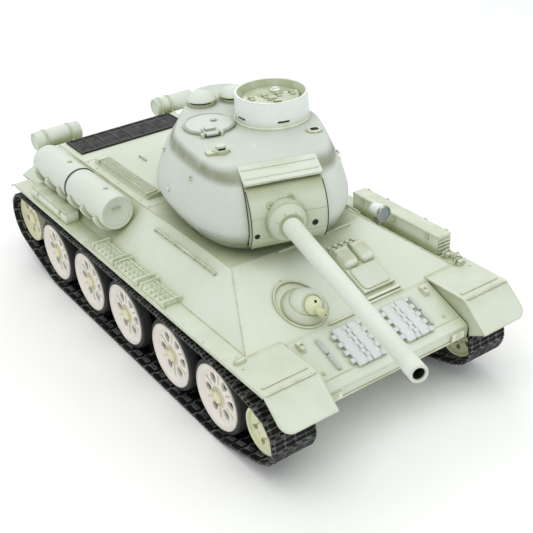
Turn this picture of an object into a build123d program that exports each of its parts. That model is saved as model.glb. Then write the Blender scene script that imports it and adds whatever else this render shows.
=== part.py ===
"""Radio-controlled scale tank: hull, running gear, turret and the works inside.

Millimetres, +Z up, ground at Z = 0. The front faces -Y and the tank's left is +X.
The origin is under the middle of the whole model's box, gun included. The turret
is drawn pointing straight ahead and is then turned to its parked traverse.
"""

import math
import os

from build123d import *

# ---------------------------------------------------------------- driving sizes
NOSE_Y = -136.9
NOSE_Z = 55.1
NOSE_HALF = 56.5
ROOF_FRONT_Y = -42.1
ROOF_Z = 92.3
ROOF_HALF = 52.1
ROOF_REAR_Y = 203.0
REAR_LIP_Y = 219.0
SPONSON_HALF = 80.7
FENDER_Z = 70.7
FENDER_HALF = 93.5
FENDER_T = 1.2
TUB_HALF = 57.5
FLOOR_Z = 25.0
WALL = 2.0
KINK_Y = -133.2
GUARD_TIP_Y = -152.1
GUARD_TIP_Z = 54.3
FENDER_REAR_Y = 205.0

WHEEL_Y = [-72.2, -17.3, 44.0, 99.0, 155.2]
WHEEL_Z = 28.85
TYRE_R = 25.1
RIM_R = 22.2
WHEEL_X_IN = 65.0
WHEEL_X_OUT = 88.0
ARM_BACK = 18.0
ARM_UP = 5.2
ARM_TRAVEL = 2.0
AXLE_R = 2.0
RUN_GAP = 0.05
IDLER = (-118.0, 32.5)
IDLER_R = 15.5
SPROCKET = (203.5, 38.0)
SPROCKET_R = 18.5

TRACK_IN = 61.0
TRACK_OUT = 92.0
TRACK_T = 3.4
LINKS = 72
LINK_PITCH = 10.7
TRACK_GAP = 0.35
RAMP_SHIFT = 1.4

RING_Y = 8.0
RING_R = 44.0
TURRET_Z = 93.8
TURRET_ROOF_Z = 150.0
TRAVERSE = -17.0
TRUNNION_Y = -42.0
TRUNNION_Z = 119.1
MANTLET_R = 25.6
MANTLET_HALF = 24.2
MANTLET_X = 2.6
TURRET_X = 3.0
GUN_LENGTH = 204.8
GUN_ELEVATION = 3.5
CUPOLA = (23.1, 24.4)
CUPOLA_R = 24.0
CUPOLA_H = 17.8
LOADER = (-20.4, 25.4)
LOADER_R = 17.5

DRIVER_X = 23.3
DRIVER_W = 24.6
DRIVER_Y = (-92.8, -57.5)
BOW_GUN = (-28.0, -84.0)
BALL_R = 6.4
BALL_PLACE = Pos(0, -4.6, 6.6)

SCREEN_HALF = 45.0
DRUM_X = -73.0
DRUM_Z = 94.2
DRUM_R = 12.4
RING_TEETH = 52
PINION_TEETH = 12
GEAR_MODULE = 1.5

PINION_OFFSET = (RING_TEETH - PINION_TEETH) * GEAR_MODULE / 2
SLOPE = (ROOF_Z - NOSE_Z) / (ROOF_FRONT_Y - NOSE_Y)
GLACIS_ANGLE = math.degrees(math.atan(SLOPE))
GLACIS = Plane(origin=(0, NOSE_Y, NOSE_Z), x_dir=(1, 0, 0), z_dir=(0, -SLOPE, 1))


# ---------------------------------------------------------------- small helpers
def block(x0, x1, y0, y1, z0, z1):
    """Rectangular block between two corners."""
    centre = Pos((x0 + x1) / 2, (y0 + y1) / 2, (z0 + z1) / 2)
    return centre * Box(x1 - x0, y1 - y0, z1 - z0)


def rod(start, end, radius, end_radius=None):
    """Round bar or cone between two points."""
    axis = Vector(*end) - Vector(*start)
    plane = Plane(origin=start, z_dir=axis)
    middle = Pos(0, 0, axis.length / 2)
    if end_radius is None:
        return plane * (middle * Cylinder(radius, axis.length))
    return plane * (middle * Cone(radius, end_radius, axis.length))


def disc(x0, x1, y, z, radius):
    """Round bar lying across the tank."""
    return rod((x0, y, z), (x1, y, z), radius)


def profile(points, x0, x1):
    """Side outline of (y, z) points, extruded across the tank."""
    face = Plane.YZ.offset(x0) * Polygon(*points, align=None)
    return extrude(face, x1 - x0, dir=(1, 0, 0))


def section(points, y0, y1):
    """Cross section of (x, z) points, extruded along the tank."""
    face = Plane.XZ.offset(-y1) * Polygon(*points, align=None)
    return extrude(face, y1 - y0, dir=(0, -1, 0))


def both_sides(shape):
    """A shape and its mirror image on the other side of the tank."""
    return [shape, mirror(shape, Plane.YZ)]


def glacis_z(y):
    """Height of the sloping front plate at a station."""
    return NOSE_Z + SLOPE * (y - NOSE_Y)


def glacis_s(y):
    """Distance up the front plate from the nose to a station."""
    return (y - NOSE_Y) / math.cos(math.radians(GLACIS_ANGLE))


def on_glacis(x, y, height=0.0):
    """Location on the front plate, with Z square to the plate."""
    return GLACIS.location * Pos(x, glacis_s(y), height)


def side_plane(side, y, drop):
    """Location on the sloping side, a distance down it from the roof edge."""
    run = math.hypot(SPONSON_HALF - ROOF_HALF, ROOF_Z - FENDER_Z)
    out = drop / run * (SPONSON_HALF - ROOF_HALF)
    fall = drop / run * (ROOF_Z - FENDER_Z)
    normal = (side * (ROOF_Z - FENDER_Z), 0, SPONSON_HALF - ROOF_HALF)
    origin = (side * (ROOF_HALF + out), y, ROOF_Z - fall)
    return Plane(origin=origin, x_dir=(0, 1, 0), z_dir=normal).location


def traversed(shape):
    """Turn a turret part from straight ahead to the parked traverse."""
    return Pos(0, RING_Y, 0) * Rot(0, 0, TRAVERSE) * shape


def elevated(shape):
    """Raise a gun part about the trunnions, before the traverse."""
    hinge = Pos(0, TRUNNION_Y, TRUNNION_Z)
    return hinge * Rot(-GUN_ELEVATION, 0, 0) * hinge.inverse() * shape


def save(name, *shapes):
    """Write one sub-part, as one or more closed solids."""
    solids = [solid for shape in shapes for solid in shape.solids()]
    whole = solids[0] if len(solids) == 1 else Compound(solids)
    export_step(whole, f"parts/{name}.step")


# ---------------------------------------------------------------- hull casings
def hull_envelope():
    """The upper hull's outside as a full solid."""
    outline = [
        (NOSE_Y + (FENDER_Z - WALL - NOSE_Z) / SLOPE, FENDER_Z - WALL),
        (ROOF_FRONT_Y, ROOF_Z),
        (ROOF_REAR_Y, ROOF_Z),
        (REAR_LIP_Y, FENDER_Z - WALL),
    ]
    half = [
        (SPONSON_HALF, FENDER_Z - WALL),
        (SPONSON_HALF, FENDER_Z),
        (ROOF_HALF, ROOF_Z),
    ]
    across = half + [(-x, z) for x, z in reversed(half)]
    side = profile(outline, -SPONSON_HALF, SPONSON_HALF)
    return side & section(across, NOSE_Y, REAR_LIP_Y + 1)


def hull_cavity():
    """The space inside the upper hull."""
    drop = WALL / math.cos(math.radians(GLACIS_ANGLE))
    low = FENDER_Z - 3 * WALL
    outline = [
        (NOSE_Y + (low + drop - NOSE_Z) / SLOPE, low),
        (ROOF_FRONT_Y, ROOF_Z - drop),
        (ROOF_REAR_Y - 2 * WALL, ROOF_Z - WALL),
        (REAR_LIP_Y - 1.5 * WALL, low),
    ]
    inner = TUB_HALF - WALL
    half = [
        (inner, low),
        (inner, FENDER_Z),
        (SPONSON_HALF - 1.7 * WALL, FENDER_Z),
        (ROOF_HALF - 0.6 * WALL, ROOF_Z - WALL),
    ]
    across = half + [(-x, z) for x, z in reversed(half)]
    side = profile(outline, -SPONSON_HALF, SPONSON_HALF)
    return side & section(across, NOSE_Y, REAR_LIP_Y)


def nose_plate():
    """The front plate below the fender line, down to the nose edge."""
    top = NOSE_Y + (FENDER_Z - WALL - NOSE_Z) / SLOPE + 1.0
    drop = WALL / math.cos(math.radians(GLACIS_ANGLE))
    points = [
        (NOSE_Y, NOSE_Z),
        (top, glacis_z(top)),
        (top, glacis_z(top) - drop),
        (NOSE_Y, NOSE_Z - drop),
    ]
    return profile(points, -NOSE_HALF, NOSE_HALF)


def driver_opening():
    """Cut for the driver's hatch, square to the front plate."""
    length = glacis_s(DRIVER_Y[1]) - glacis_s(DRIVER_Y[0])
    middle = (DRIVER_Y[0] + DRIVER_Y[1]) / 2
    return on_glacis(DRIVER_X, middle) * Box(DRIVER_W - 4, length - 4, 12)


def upper_hull():
    """Sloping upper casing with its roof, front plate and sponsons."""
    hull = hull_envelope() + nose_plate() - hull_cavity()
    hull -= rod((0, RING_Y, ROOF_Z - 5), (0, RING_Y, ROOF_Z + 5), RING_R + 0.3)
    hull -= driver_opening()
    hull -= on_glacis(*BOW_GUN) * Cylinder(8.0, 14)
    hull -= block(-SCREEN_HALF, SCREEN_HALF, 176, 200, ROOF_Z - 4, ROOF_Z + 1)
    hull -= block(-33, 33, 84, 146, ROOF_Z - 4, ROOF_Z + 1)
    return hull


def tub_outline():
    """Side outline of the lower hull."""
    drop = WALL / math.cos(math.radians(GLACIS_ANGLE))
    top = FENDER_Z - WALL
    return [
        (NOSE_Y, NOSE_Z - drop),
        (NOSE_Y + 0.6, 46.5),
        (-101.0, FLOOR_Z),
        (210.0, FLOOR_Z),
        (REAR_LIP_Y - 0.4, 50.0),
        (REAR_LIP_Y, 64.0),
        (REAR_LIP_Y, top),
        (NOSE_Y + (top + drop - NOSE_Z) / SLOPE, top),
    ]


def lower_hull():
    """Tub that carries the running gear, open on top."""
    tub = profile(tub_outline(), -TUB_HALF, TUB_HALF)
    hollow = [
        (NOSE_Y + 2.2, 53.2),
        (NOSE_Y + 2.8, 47.6),
        (-100.2, FLOOR_Z + WALL),
        (208.6, FLOOR_Z + WALL),
        (REAR_LIP_Y - 2.5, 50.4),
        (REAR_LIP_Y - WALL, 64.0),
        (REAR_LIP_Y - WALL, 80.0),
        (-72.0, 80.0),
    ]
    inner = TUB_HALF - WALL
    tub -= profile(hollow, -inner, inner)
    for y in WHEEL_Y:
        hole = AXLE_R + RUN_GAP
        tub -= disc(-70, 70, y - ARM_BACK, WHEEL_Z + ARM_UP, hole)
    tub -= disc(-70, 70, IDLER[0], IDLER[1], 3 + RUN_GAP)
    tub -= disc(-70, 70, SPROCKET[0], SPROCKET[1], 3 + RUN_GAP)
    tub -= block(-24, 24, -20, 60, FLOOR_Z - 1, FLOOR_Z + 3)
    tub -= block(-3, 3, 96, 106, FLOOR_Z - 1, FLOOR_Z + 3)
    for x, y in SCREW_SPOTS:
        tub -= rod((x, y, FLOOR_Z - 1), (x, y, FLOOR_Z + 1.2), 2.6)
    return tub


SCREW_SPOTS = [(x, y) for x in (-46, 46) for y in (-92, 20, 120, 186)]


def screws():
    """Cross-head screws that close the hull from below."""
    group = []
    for x, y in SCREW_SPOTS:
        head = rod((x, y, FLOOR_Z - 0.4), (x, y, FLOOR_Z + 1.2), 2.5)
        head -= Pos(x, y, FLOOR_Z - 0.4) * Box(3.2, 0.7, 1.2)
        head -= Pos(x, y, FLOOR_Z - 0.4) * Box(0.7, 3.2, 1.2)
        group.append(head)
    return group


def battery_door():
    """Screwed cover under the battery."""
    door = block(-23.7, 23.7, -19.7, 59.7, FLOOR_Z, FLOOR_Z + WALL)
    for x in (-14, -7, 0, 7, 14):
        door += block(x - 0.8, x + 0.8, -10, 50, FLOOR_Z - 0.6, FLOOR_Z)
    return door


# ---------------------------------------------------------------- fenders
def guard_sheet():
    """Side outline of the fender sheet, with the drooped front and rear."""
    t = FENDER_T
    return [
        (GUARD_TIP_Y, GUARD_TIP_Z),
        (KINK_Y, FENDER_Z),
        (FENDER_REAR_Y, FENDER_Z),
        (FENDER_REAR_Y + 8.5, FENDER_Z - 4),
        (FENDER_REAR_Y + 8.0, FENDER_Z - 4 - t),
        (FENDER_REAR_Y, FENDER_Z - t),
        (KINK_Y + 0.4, FENDER_Z - t),
        (GUARD_TIP_Y + 1.0, GUARD_TIP_Z - t + 0.3),
    ]


def guard_cheek():
    """Upright inner side of the front mudguard."""
    points = [
        (KINK_Y + 34.5, FENDER_Z - FENDER_T),
        (KINK_Y + 0.4, FENDER_Z - FENDER_T),
        (GUARD_TIP_Y + 1.0, GUARD_TIP_Z - FENDER_T + 0.3),
        (NOSE_Y - 1.2, 46.6),
        (NOSE_Y - 0.6, NOSE_Z - 2.2),
        (KINK_Y + 34.5, glacis_z(KINK_Y + 34.5) - 2.4),
    ]
    return profile(points, TUB_HALF, TUB_HALF + FENDER_T)


def fender():
    """Left fender: flat sheet, front mudguard, edge lip and stiffening ribs."""
    sheet = profile(guard_sheet(), NOSE_HALF, FENDER_HALF)
    sheet -= block(0, SPONSON_HALF, -97.0, 240, 60, 75)
    tip = (GUARD_TIP_Y, GUARD_TIP_Z)
    lean = math.degrees(math.atan2(FENDER_Z - tip[1], KINK_Y - tip[0]))
    corner = Pos(FENDER_HALF, tip[0], tip[1]) * Rot(lean, 0, 0)
    trim = corner * (Box(16, 16, 12) - Pos(-8, 8, 0) * Cylinder(8, 14))
    sheet -= trim
    lip_z = FENDER_Z - FENDER_T
    lip = block(FENDER_HALF - 0.9, FENDER_HALF, KINK_Y + 1, FENDER_REAR_Y, lip_z - 1.4, lip_z)
    rib = block(NOSE_HALF + 3, FENDER_HALF - 3, KINK_Y + 5.0, KINK_Y + 6.4, FENDER_Z, FENDER_Z + 0.7)
    return sheet + lip + rib + guard_cheek() - hull_envelope()


def fenders():
    """Both fenders."""
    return both_sides(fender())


# ---------------------------------------------------------------- running gear
def wheel_disc(x_face, x_back, outward):
    """One dished disc of a road wheel, face first."""
    body = disc(min(x_face, x_back), max(x_face, x_back), 0, 0, RIM_R)
    dish = disc(x_face - outward * 2.6, x_face + outward, 0, 0, RIM_R - 2.2)
    hub = disc(x_face - outward * 2.6, x_face - outward * 0.4, 0, 0, 7.0)
    return body - dish + hub


def road_wheel():
    """Twin road wheel: cast rim with two rubber tyres, axle along X."""
    outer = wheel_disc(WHEEL_X_OUT, WHEEL_X_OUT - 8.6, 1)
    inner = wheel_disc(WHEEL_X_IN, WHEEL_X_IN + 8.6, -1)
    tube = disc(WHEEL_X_IN + 8, WHEEL_X_OUT - 8, 0, 0, 8.0)
    rim = outer + inner + tube
    for index in range(6):
        angle = math.radians(60 * index + 30)
        y = 13.4 * math.cos(angle)
        z = 13.4 * math.sin(angle)
        rim -= disc(WHEEL_X_IN - 2, WHEEL_X_OUT + 2, y, z, 3.0)
    rim -= disc(WHEEL_X_IN - 1, WHEEL_X_OUT - 2.2, 0, 0, AXLE_R + RUN_GAP)
    solids = [rim]
    for x0 in (WHEEL_X_IN + 0.8, WHEEL_X_OUT - 8.6):
        tyre = disc(x0, x0 + 7.8, 0, 0, TYRE_R) - disc(x0 - 1, x0 + 9, 0, 0, RIM_R)
        solids.append(tyre)
    return Compound(solids)


def swing_arm():
    """Trailing suspension arm: pivot pin, link and stub axle, axle at the origin."""
    pivot = (-ARM_BACK, ARM_UP)
    x0 = TUB_HALF + 0.8
    x1 = WHEEL_X_IN - 1.2
    reach = math.hypot(ARM_BACK, ARM_UP)
    tilt = math.degrees(math.atan2(ARM_UP, -ARM_BACK))
    link = Pos((x0 + x1) / 2, 0, 0) * Rot(tilt, 0, 0) * Pos(0, reach / 2, 0) * Box(x1 - x0, reach, 6)
    link += disc(x0, x1, 0, 0, 4.2)
    link += disc(x0, x1, pivot[0], pivot[1], 4.6)
    link += disc(TUB_HALF - 6, x0, pivot[0], pivot[1], AXLE_R)
    link += disc(x1, WHEEL_X_OUT - 3.2, 0, 0, AXLE_R)
    return link


def idler():
    """Front idler wheel with its shaft, axle along X at the origin."""
    wheel = disc(66.5, 73.5, 0, 0, IDLER_R) + disc(79.5, 86.5, 0, 0, IDLER_R)
    wheel += disc(66.5, 86.5, 0, 0, 7.0)
    wheel -= disc(83.5, 90, 0, 0, IDLER_R - 2.6) - disc(83.5, 86.0, 0, 0, 5.0)
    for index in range(5):
        angle = math.radians(72 * index + 20)
        wheel -= disc(60, 90, 9.2 * math.cos(angle), 9.2 * math.sin(angle), 2.1)
    return wheel + disc(TUB_HALF - 6, 66.5, 0, 0, 3.0)


def gear(teeth, module, width, bore, addendum=0.8, thick=0.36):
    """Spur gear about Z, with relieved straight-sided teeth."""
    pitch_r = teeth * module / 2
    root_r = pitch_r - 1.2 * module * 0.75
    tip_r = pitch_r + addendum * module * 0.75
    half = math.pi * pitch_r / teeth * thick
    tooth = [(root_r - 1, -half * 1.3), (tip_r, -half * 0.6), (tip_r, half * 0.6), (root_r - 1, half * 1.3)]
    body = Cylinder(root_r, width)
    blank = extrude(Polygon(*tooth, align=None), width / 2, both=True)
    body += [Rot(0, 0, 360 * index / teeth) * blank for index in range(teeth)]
    return body - Cylinder(bore, width + 2) if bore else body


def roller_phase():
    """Angle of a roller midway between the two rearmost guide horns."""
    pins = link_stations()
    plain = []
    for index in range(1, LINKS, 2):
        (ya, za), (yb, zb) = pins[index], pins[(index + 1) % LINKS]
        plain.append(((ya + yb) / 2, (za + zb) / 2))
    y, z = max(plain)
    return math.atan2(z - SPROCKET[1], y - SPROCKET[0])


def sprocket():
    """Rear drive wheel with six rollers, shaft and output gear."""
    wheel = disc(66.5, 72.0, 0, 0, SPROCKET_R) + disc(81.0, 86.5, 0, 0, SPROCKET_R)
    wheel += disc(66.5, 86.5, 0, 0, 8.0)
    wheel -= disc(84.0, 90, 0, 0, SPROCKET_R - 3.0) - disc(84.0, 86.2, 0, 0, 7.0)
    for index in range(6):
        angle = roller_phase() + math.radians(60 * index)
        y = (SPROCKET_R - 3.4) * math.cos(angle)
        z = (SPROCKET_R - 3.4) * math.sin(angle)
        wheel += disc(71, 82, y, z, 2.2)
    wheel += disc(38.2, 66.5, 0, 0, 3.0)
    drive = Plane.YZ.offset(46) * gear(14, 1.0, 5, 2.9)
    return wheel + drive


def belt(circles):
    """Closed path round circles of (y, z, r), in order, as points 0.5 mm apart."""
    tangents = []
    for first, second in zip(circles, circles[1:] + circles[:1]):
        dy = second[0] - first[0]
        dz = second[1] - first[1]
        span = math.hypot(dy, dz)
        lean = math.asin((first[2] - second[2]) / span)
        heading = math.atan2(dz, dy)
        tangents.append(heading - math.pi / 2 + lean)
    points = []
    for index, (y, z, r) in enumerate(circles):
        start = tangents[index - 1]
        turn = (tangents[index] - start) % (2 * math.pi)
        steps = max(2, int(r * turn / 0.5))
        for step in range(steps + 1):
            angle = start + turn * step / steps
            points.append((y + r * math.cos(angle), z + r * math.sin(angle)))
    return points


def link_radius(wheel_radius):
    """Radius of the pin line whose flat links clear a wheel at mid-span."""
    face = wheel_radius + TRACK_GAP + TRACK_T / 2
    return math.hypot(face, LINK_PITCH / 2)


def track_path():
    """Pin line of the track round its wheels, bottom run first."""
    half = TRACK_T / 2
    wheel = TYRE_R + TRACK_GAP + half
    circles = [
        (WHEEL_Y[0] - RAMP_SHIFT, WHEEL_Z, wheel),
        (WHEEL_Y[-1] + RAMP_SHIFT, WHEEL_Z, wheel),
        (*SPROCKET, link_radius(SPROCKET_R)),
        (WHEEL_Y[0], WHEEL_Z, link_radius(TYRE_R + ARM_TRAVEL)),
        (*IDLER, link_radius(IDLER_R)),
    ]
    return belt(circles)


def link_stations():
    """Pins of the track, equally spaced along its path."""
    path = track_path()
    path.append(path[0])
    lengths = [0.0]
    for (ya, za), (yb, zb) in zip(path, path[1:]):
        lengths.append(lengths[-1] + math.hypot(yb - ya, zb - za))
    pitch = lengths[-1] / LINKS
    pins = []
    cursor = 0
    for index in range(LINKS):
        target = index * pitch
        while lengths[cursor + 1] < target:
            cursor += 1
        share = (target - lengths[cursor]) / (lengths[cursor + 1] - lengths[cursor])
        (ya, za), (yb, zb) = path[cursor], path[cursor + 1]
        pins.append((ya + share * (yb - ya), za + share * (zb - za)))
    return pins


def track():
    """Left track: plates on a pin line, with a guide horn on every second link."""
    pins = link_stations()
    outer = []
    inner = []
    horns = []
    for index, (ya, za) in enumerate(pins):
        yb, zb = pins[(index + 1) % LINKS]
        pitch = math.hypot(yb - ya, zb - za)
        along = ((yb - ya) / pitch, (zb - za) / pitch)
        out = (along[1], -along[0])

        def corner(distance, height):
            return (
                ya + along[0] * distance + out[0] * height,
                za + along[1] * distance + out[1] * height,
            )

        half = TRACK_T / 2
        outer += [corner(0, 0.7), corner(0.9, half), corner(pitch - 0.9, half)]
        inner += [corner(0, -0.7), corner(0.9, -half), corner(pitch - 0.9, -half)]
        if index % 2 == 0:
            foot = [corner(2.2, 0), corner(pitch - 2.2, 0)]
            tip = [corner(pitch - 4.2, -half - 5.8), corner(4.2, -half - 5.8)]
            horns.append(profile(foot + tip, 74.9, 78.1))
    loop = profile(outer, TRACK_IN, TRACK_OUT) - profile(inner, TRACK_IN - 1, TRACK_OUT + 1)
    return loop + horns


# ---------------------------------------------------------------- hull fittings
def engine_deck():
    """Raised engine cover with louvres along both sides and across its front."""
    half = [(46.0, ROOF_Z), (44.0, ROOF_Z + 2.4), (36.0, ROOF_Z + 3.4), (27.0, ROOF_Z + 6.6)]
    outline = half + [(-x, z) for x, z in reversed(half)]
    cover = section(outline, 73, 155)
    inside = [(x * 0.93, z - 1.6) for x, z in half]
    inside[0] = (inside[0][0], ROOF_Z - 1)
    cover -= section(inside + [(-x, z) for x, z in reversed(inside)], 75, 153)
    for side in (-1, 1):
        for step in range(4):
            x = side * (37.6 + 2.0 * step)
            cover += block(x - 0.45, x + 0.45, 76, 147, ROOF_Z + 2.0, ROOF_Z + 4.2)
    for step in range(9):
        y = 80 + 3.2 * step
        cover -= block(-17, 17, y, y + 1.4, ROOF_Z + 5.8, ROOF_Z + 8)
    return cover


def mesh_screen():
    """Framed wire screen over the fan outlet."""
    half = SCREEN_HALF
    frame = block(-half - 2, half + 2, 173.6, 202.4, ROOF_Z, ROOF_Z + 1.6)
    frame -= block(-half, half, 175.6, 200.0, ROOF_Z - 1, ROOF_Z + 3)
    wires = []
    for index in range(1, 24):
        x = -half + 2 * half * index / 24
        wires.append(block(x - 0.3, x + 0.3, 175, 200.6, ROOF_Z + 0.3, ROOF_Z + 1.1))
    for index in range(1, 8):
        y = 175.6 + 24.4 * index / 8
        wires.append(block(-half - 0.5, half + 0.5, y - 0.3, y + 0.3, ROOF_Z + 0.3, ROOF_Z + 1.1))
    return frame + wires


def fuel_drums():
    """Two fuel drums in line on the right side, with rolled rims."""
    group = []
    for y0, y1 in ((65.7, 121.7), (122.3, 178.5)):
        drum = rod((DRUM_X, y0, DRUM_Z), (DRUM_X, y1, DRUM_Z), DRUM_R)
        for y, inward in ((y0, 1), (y1, -1)):
            recess = rod((DRUM_X, y, DRUM_Z), (DRUM_X, y + inward, DRUM_Z), DRUM_R - 2.2)
            drum -= recess
        drum += rod((DRUM_X, y0 + 11, DRUM_Z), (DRUM_X, y0 + 12.6, DRUM_Z), DRUM_R + 0.5)
        drum += rod((DRUM_X, y1 - 12.6, DRUM_Z), (DRUM_X, y1 - 11, DRUM_Z), DRUM_R + 0.5)
        group.append(drum)
    return group


def drum_brackets():
    """Cradles that hold the drums off the sloping side."""
    group = []
    for y in (72, 92, 112, 130, 150, 170):
        cradle = rod((DRUM_X, y, DRUM_Z), (DRUM_X, y + 2.4, DRUM_Z), DRUM_R + 3.0)
        cradle &= block(-88, -50, y - 1, y + 5, 70.7, 92.5)
        cradle -= rod((DRUM_X, y - 1, DRUM_Z), (DRUM_X, y + 4, DRUM_Z), DRUM_R + 0.02)
        cradle -= hull_envelope()
        group += [piece for piece in cradle.solids() if piece.volume > 2]
    return group


def smoke_canisters():
    """Two smoke canisters across the rear plate, each in two clamps."""
    group = []
    y, z, r = 220.5, 93.0, 7.4
    for x0, x1, clamps in ((-66.0, -27.0, (-58, -37)), (44.0, 80.0, (47, 56))):
        can = disc(x0, x1, y, z, r)
        can -= disc(x0, x0 + 0.8, y, z, r - 1.5)
        can -= disc(x1 - 0.8, x1, y, z, r - 1.5)
        for x in clamps:
            can += disc(x, x + 2, y, z, r + 0.5)
            can += block(x, x + 2, 205.5, y, z - 10.5, z - 2) - hull_envelope()
        group.append(can)
    return group


def stowage_boxes():
    """Tool box on the right rear fender and long box on the left fender."""
    top = FENDER_Z
    right = section([(-91, top), (-91, top + 6.6), (-89, top + 8.2), (-81.2, top + 8.2), (-81.2, top)], 115, 176)
    lid = block(-90.6, -81.0, 116, 175, top + 8.2, top + 9.0)
    left = block(81.2, 92.6, -84.0, 2.0, top, top + 12.6)
    cap = block(80.9, 92.9, -84.4, 2.4, top + 12.6, top + 13.8)
    for z in (2.6, 5.4, 8.2, 11.0):
        left += block(81.6, 92.2, -85.0, -84.0, top + z, top + z + 1.2)
    for y in (-70, -41, -12):
        cap += block(86, 88.4, y, y + 5, top + 13.8, top + 14.8)
    left_rear = block(81.2, 92.6, 60, 150, top, top + 10.4)
    left_rear += block(80.9, 92.9, 59.6, 150.4, top + 10.4, top + 11.4)
    return [right + lid, left + cap, left_rear]


def cleat_racks():
    """Ribbed ice cleats in three clamps on the right fender."""
    group = []
    for middle in (57.0, 24.0, -10.0):
        rack = block(-92.2, -81.4, middle - 14, middle + 14, FENDER_Z, FENDER_Z + 1.4)
        for index in range(6):
            y = middle - 12.4 + 4.7 * index
            rack += block(-91.6, -82, y, y + 1.6, FENDER_Z + 1.4, FENDER_Z + 3.8)
        for x in (-90.4, -84.4):
            rack += block(x, x + 1.6, middle - 14, middle + 14, FENDER_Z + 1.4, FENDER_Z + 3.2)
        rack += block(-92.2, -81.4, middle - 15.0, middle - 14, FENDER_Z, FENDER_Z + 4.6)
        rack += block(-92.2, -81.4, middle + 14, middle + 15.0, FENDER_Z, FENDER_Z + 4.6)
        group.append(rack)
    return group


def link_plate(width, length):
    """Spare track link laid flat, with knuckles along two edges."""
    plate = Pos(0, 0, 1.0) * Box(width, length - 1.0, 2.0)
    step = width / 5
    for index in range(5):
        edge = 0.5 if index % 2 else -0.5
        x = -width / 2 + step * (index + 0.5)
        plate += Pos(x, edge * length * 0.94, 1.1) * Box(step * 0.8, 1.6, 1.6)
    plate += Pos(0, 0, 2.4) * Box(width * 0.82, 1.2, 0.8)
    return plate


def spare_links():
    """Spare track links clamped on the front plate."""
    group = []
    for middle in (-16.5, 21.5):
        for shift in (-5.35, 5.35):
            plate = link_plate(28.0, 9.6)
            group.append(on_glacis(middle + shift, -118.5) * Rot(0, 0, 90) * plate)
    for x in (-36.5, 36.0):
        group.append(on_glacis(x, -117) * Pos(0, 0, 0.9) * Box(3.2, 24, 1.8))
    return group


def hull_fittings():
    """Hooks, rails, splash strips and bolt heads fixed to the hull."""
    group = []
    for side in (-1, 1):
        face = profile([(NOSE_Y, 53), (NOSE_Y - 1.6, 52.4), (NOSE_Y - 1.4, 48), (NOSE_Y + 0.4, 47.4)], -5, 5)
        lug = Pos(side * 48, 0, 0) * face
        group.append(lug - block(-60, 60, NOSE_Y, NOSE_Y + 5, 40, 60))
        group.append(on_glacis(side * 48.5, -106) * Pos(0, 0, 1.2) * Box(3.6, 6.5, 2.4))
        group.append(on_glacis(side * 46.8, -126) * Pos(0, 0, 0.4) * Cylinder(1.1, 0.8))
        rail_y0, rail_y1 = (-34, 40) if side < 0 else (-30, 70)
        for index in range(int((rail_y1 - rail_y0) / 12) + 1):
            foot = side_plane(side, rail_y0 + 12 * index, 8)
            group.append(foot * Pos(0, 0, 1.0) * Box(1.6, 2.4, 2.0))
        rear_hook = block(side * 40 - 1.6, side * 40 + 1.6, REAR_LIP_Y, REAR_LIP_Y + 5, 54, 60)
        group.append(rear_hook - disc(side * 40 - 3, side * 40 + 3, REAR_LIP_Y + 2.8, 57, 1.4))
        group.append(block(*sorted((side * 83, side * 90)), -102, -98, FENDER_Z, FENDER_Z + 2.6))
    group.append(on_glacis(DRIVER_X, -96.6) * Pos(0, 0, 1.1) * Box(26.6, 2.4, 2.2))
    group.append(on_glacis(-13, -101) * Pos(0, 0, 0.7) * Box(20, 1.2, 1.4))
    round_hatch = rod((0, 211.6, 81.6), (0, 213.6, 82.9), 17)
    group.append(round_hatch - hull_envelope())
    return group


def headlamp():
    """Headlamp shell on its stalk, open at the front."""
    x, y, z = 68.0, -46.5, 91.0
    shell = rod((x, y, z), (x, y + 11, z), 5.6, 4.4)
    shell -= rod((x, y, z), (x, y + 3, z), 4.9)
    stalk = rod((x, y + 6, z), (x, y + 6, 78.5), 1.4) - hull_envelope()
    return [shell + stalk, rod((x, y + 0.6, z), (x, y + 2.2, z), 4.9)]


def bow_gun_mount():
    """Raised casting round the hull machine gun."""
    plate = on_glacis(*BOW_GUN)
    base = plate * Pos(0, 0, 2.5) * Cone(15.0, 11.0, 5.0)
    cap = plate * Pos(0, 0, 1.0) * Sphere(11.2)
    cap &= plate * Pos(0, 0, 11.0) * Box(40, 40, 14)
    return base + cap - plate * BALL_PLACE * Sphere(BALL_R + 0.3)


def bow_gun():
    """Ball with the hull machine gun barrel."""
    ball = on_glacis(*BOW_GUN) * BALL_PLACE
    ahead = ball * Rot(90 - GLACIS_ANGLE, 0, 0)
    barrel = ahead * Pos(0, 0, 8.5) * Cylinder(1.5, 10)
    bore = ahead * Pos(0, 0, 11.5) * Cylinder(0.8, 5)
    return ball * Sphere(BALL_R) + barrel - bore


def driver_hatch():
    """Driver's hatch with its two periscope housings and hinge knuckles."""
    middle = (DRIVER_Y[0] + DRIVER_Y[1]) / 2
    length = glacis_s(DRIVER_Y[1]) - glacis_s(DRIVER_Y[0])
    place = on_glacis(DRIVER_X, middle)
    door = place * Pos(0, 0, 1.4) * Box(DRIVER_W, length, 2.4)
    for x in (-6.4, 6.4):
        hood = Pos(x, length / 2 - 8.5, 4.2) * Box(10.2, 12.5, 5.0)
        door += place * fillet(hood.edges().group_by(Axis.Z)[-1], 1.8)
    for x in (-9.5, -4.7, 0, 4.7, 9.5):
        door += place * Pos(x, length / 2 - 0.4, 2.6) * Rot(0, 90, 0) * Cylinder(1.2, 3.4)
    door -= place * Pos(0, length / 2 - 17.2, 2.6) * Box(DRIVER_W + 2, 0.6, 0.6)
    return door


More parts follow.
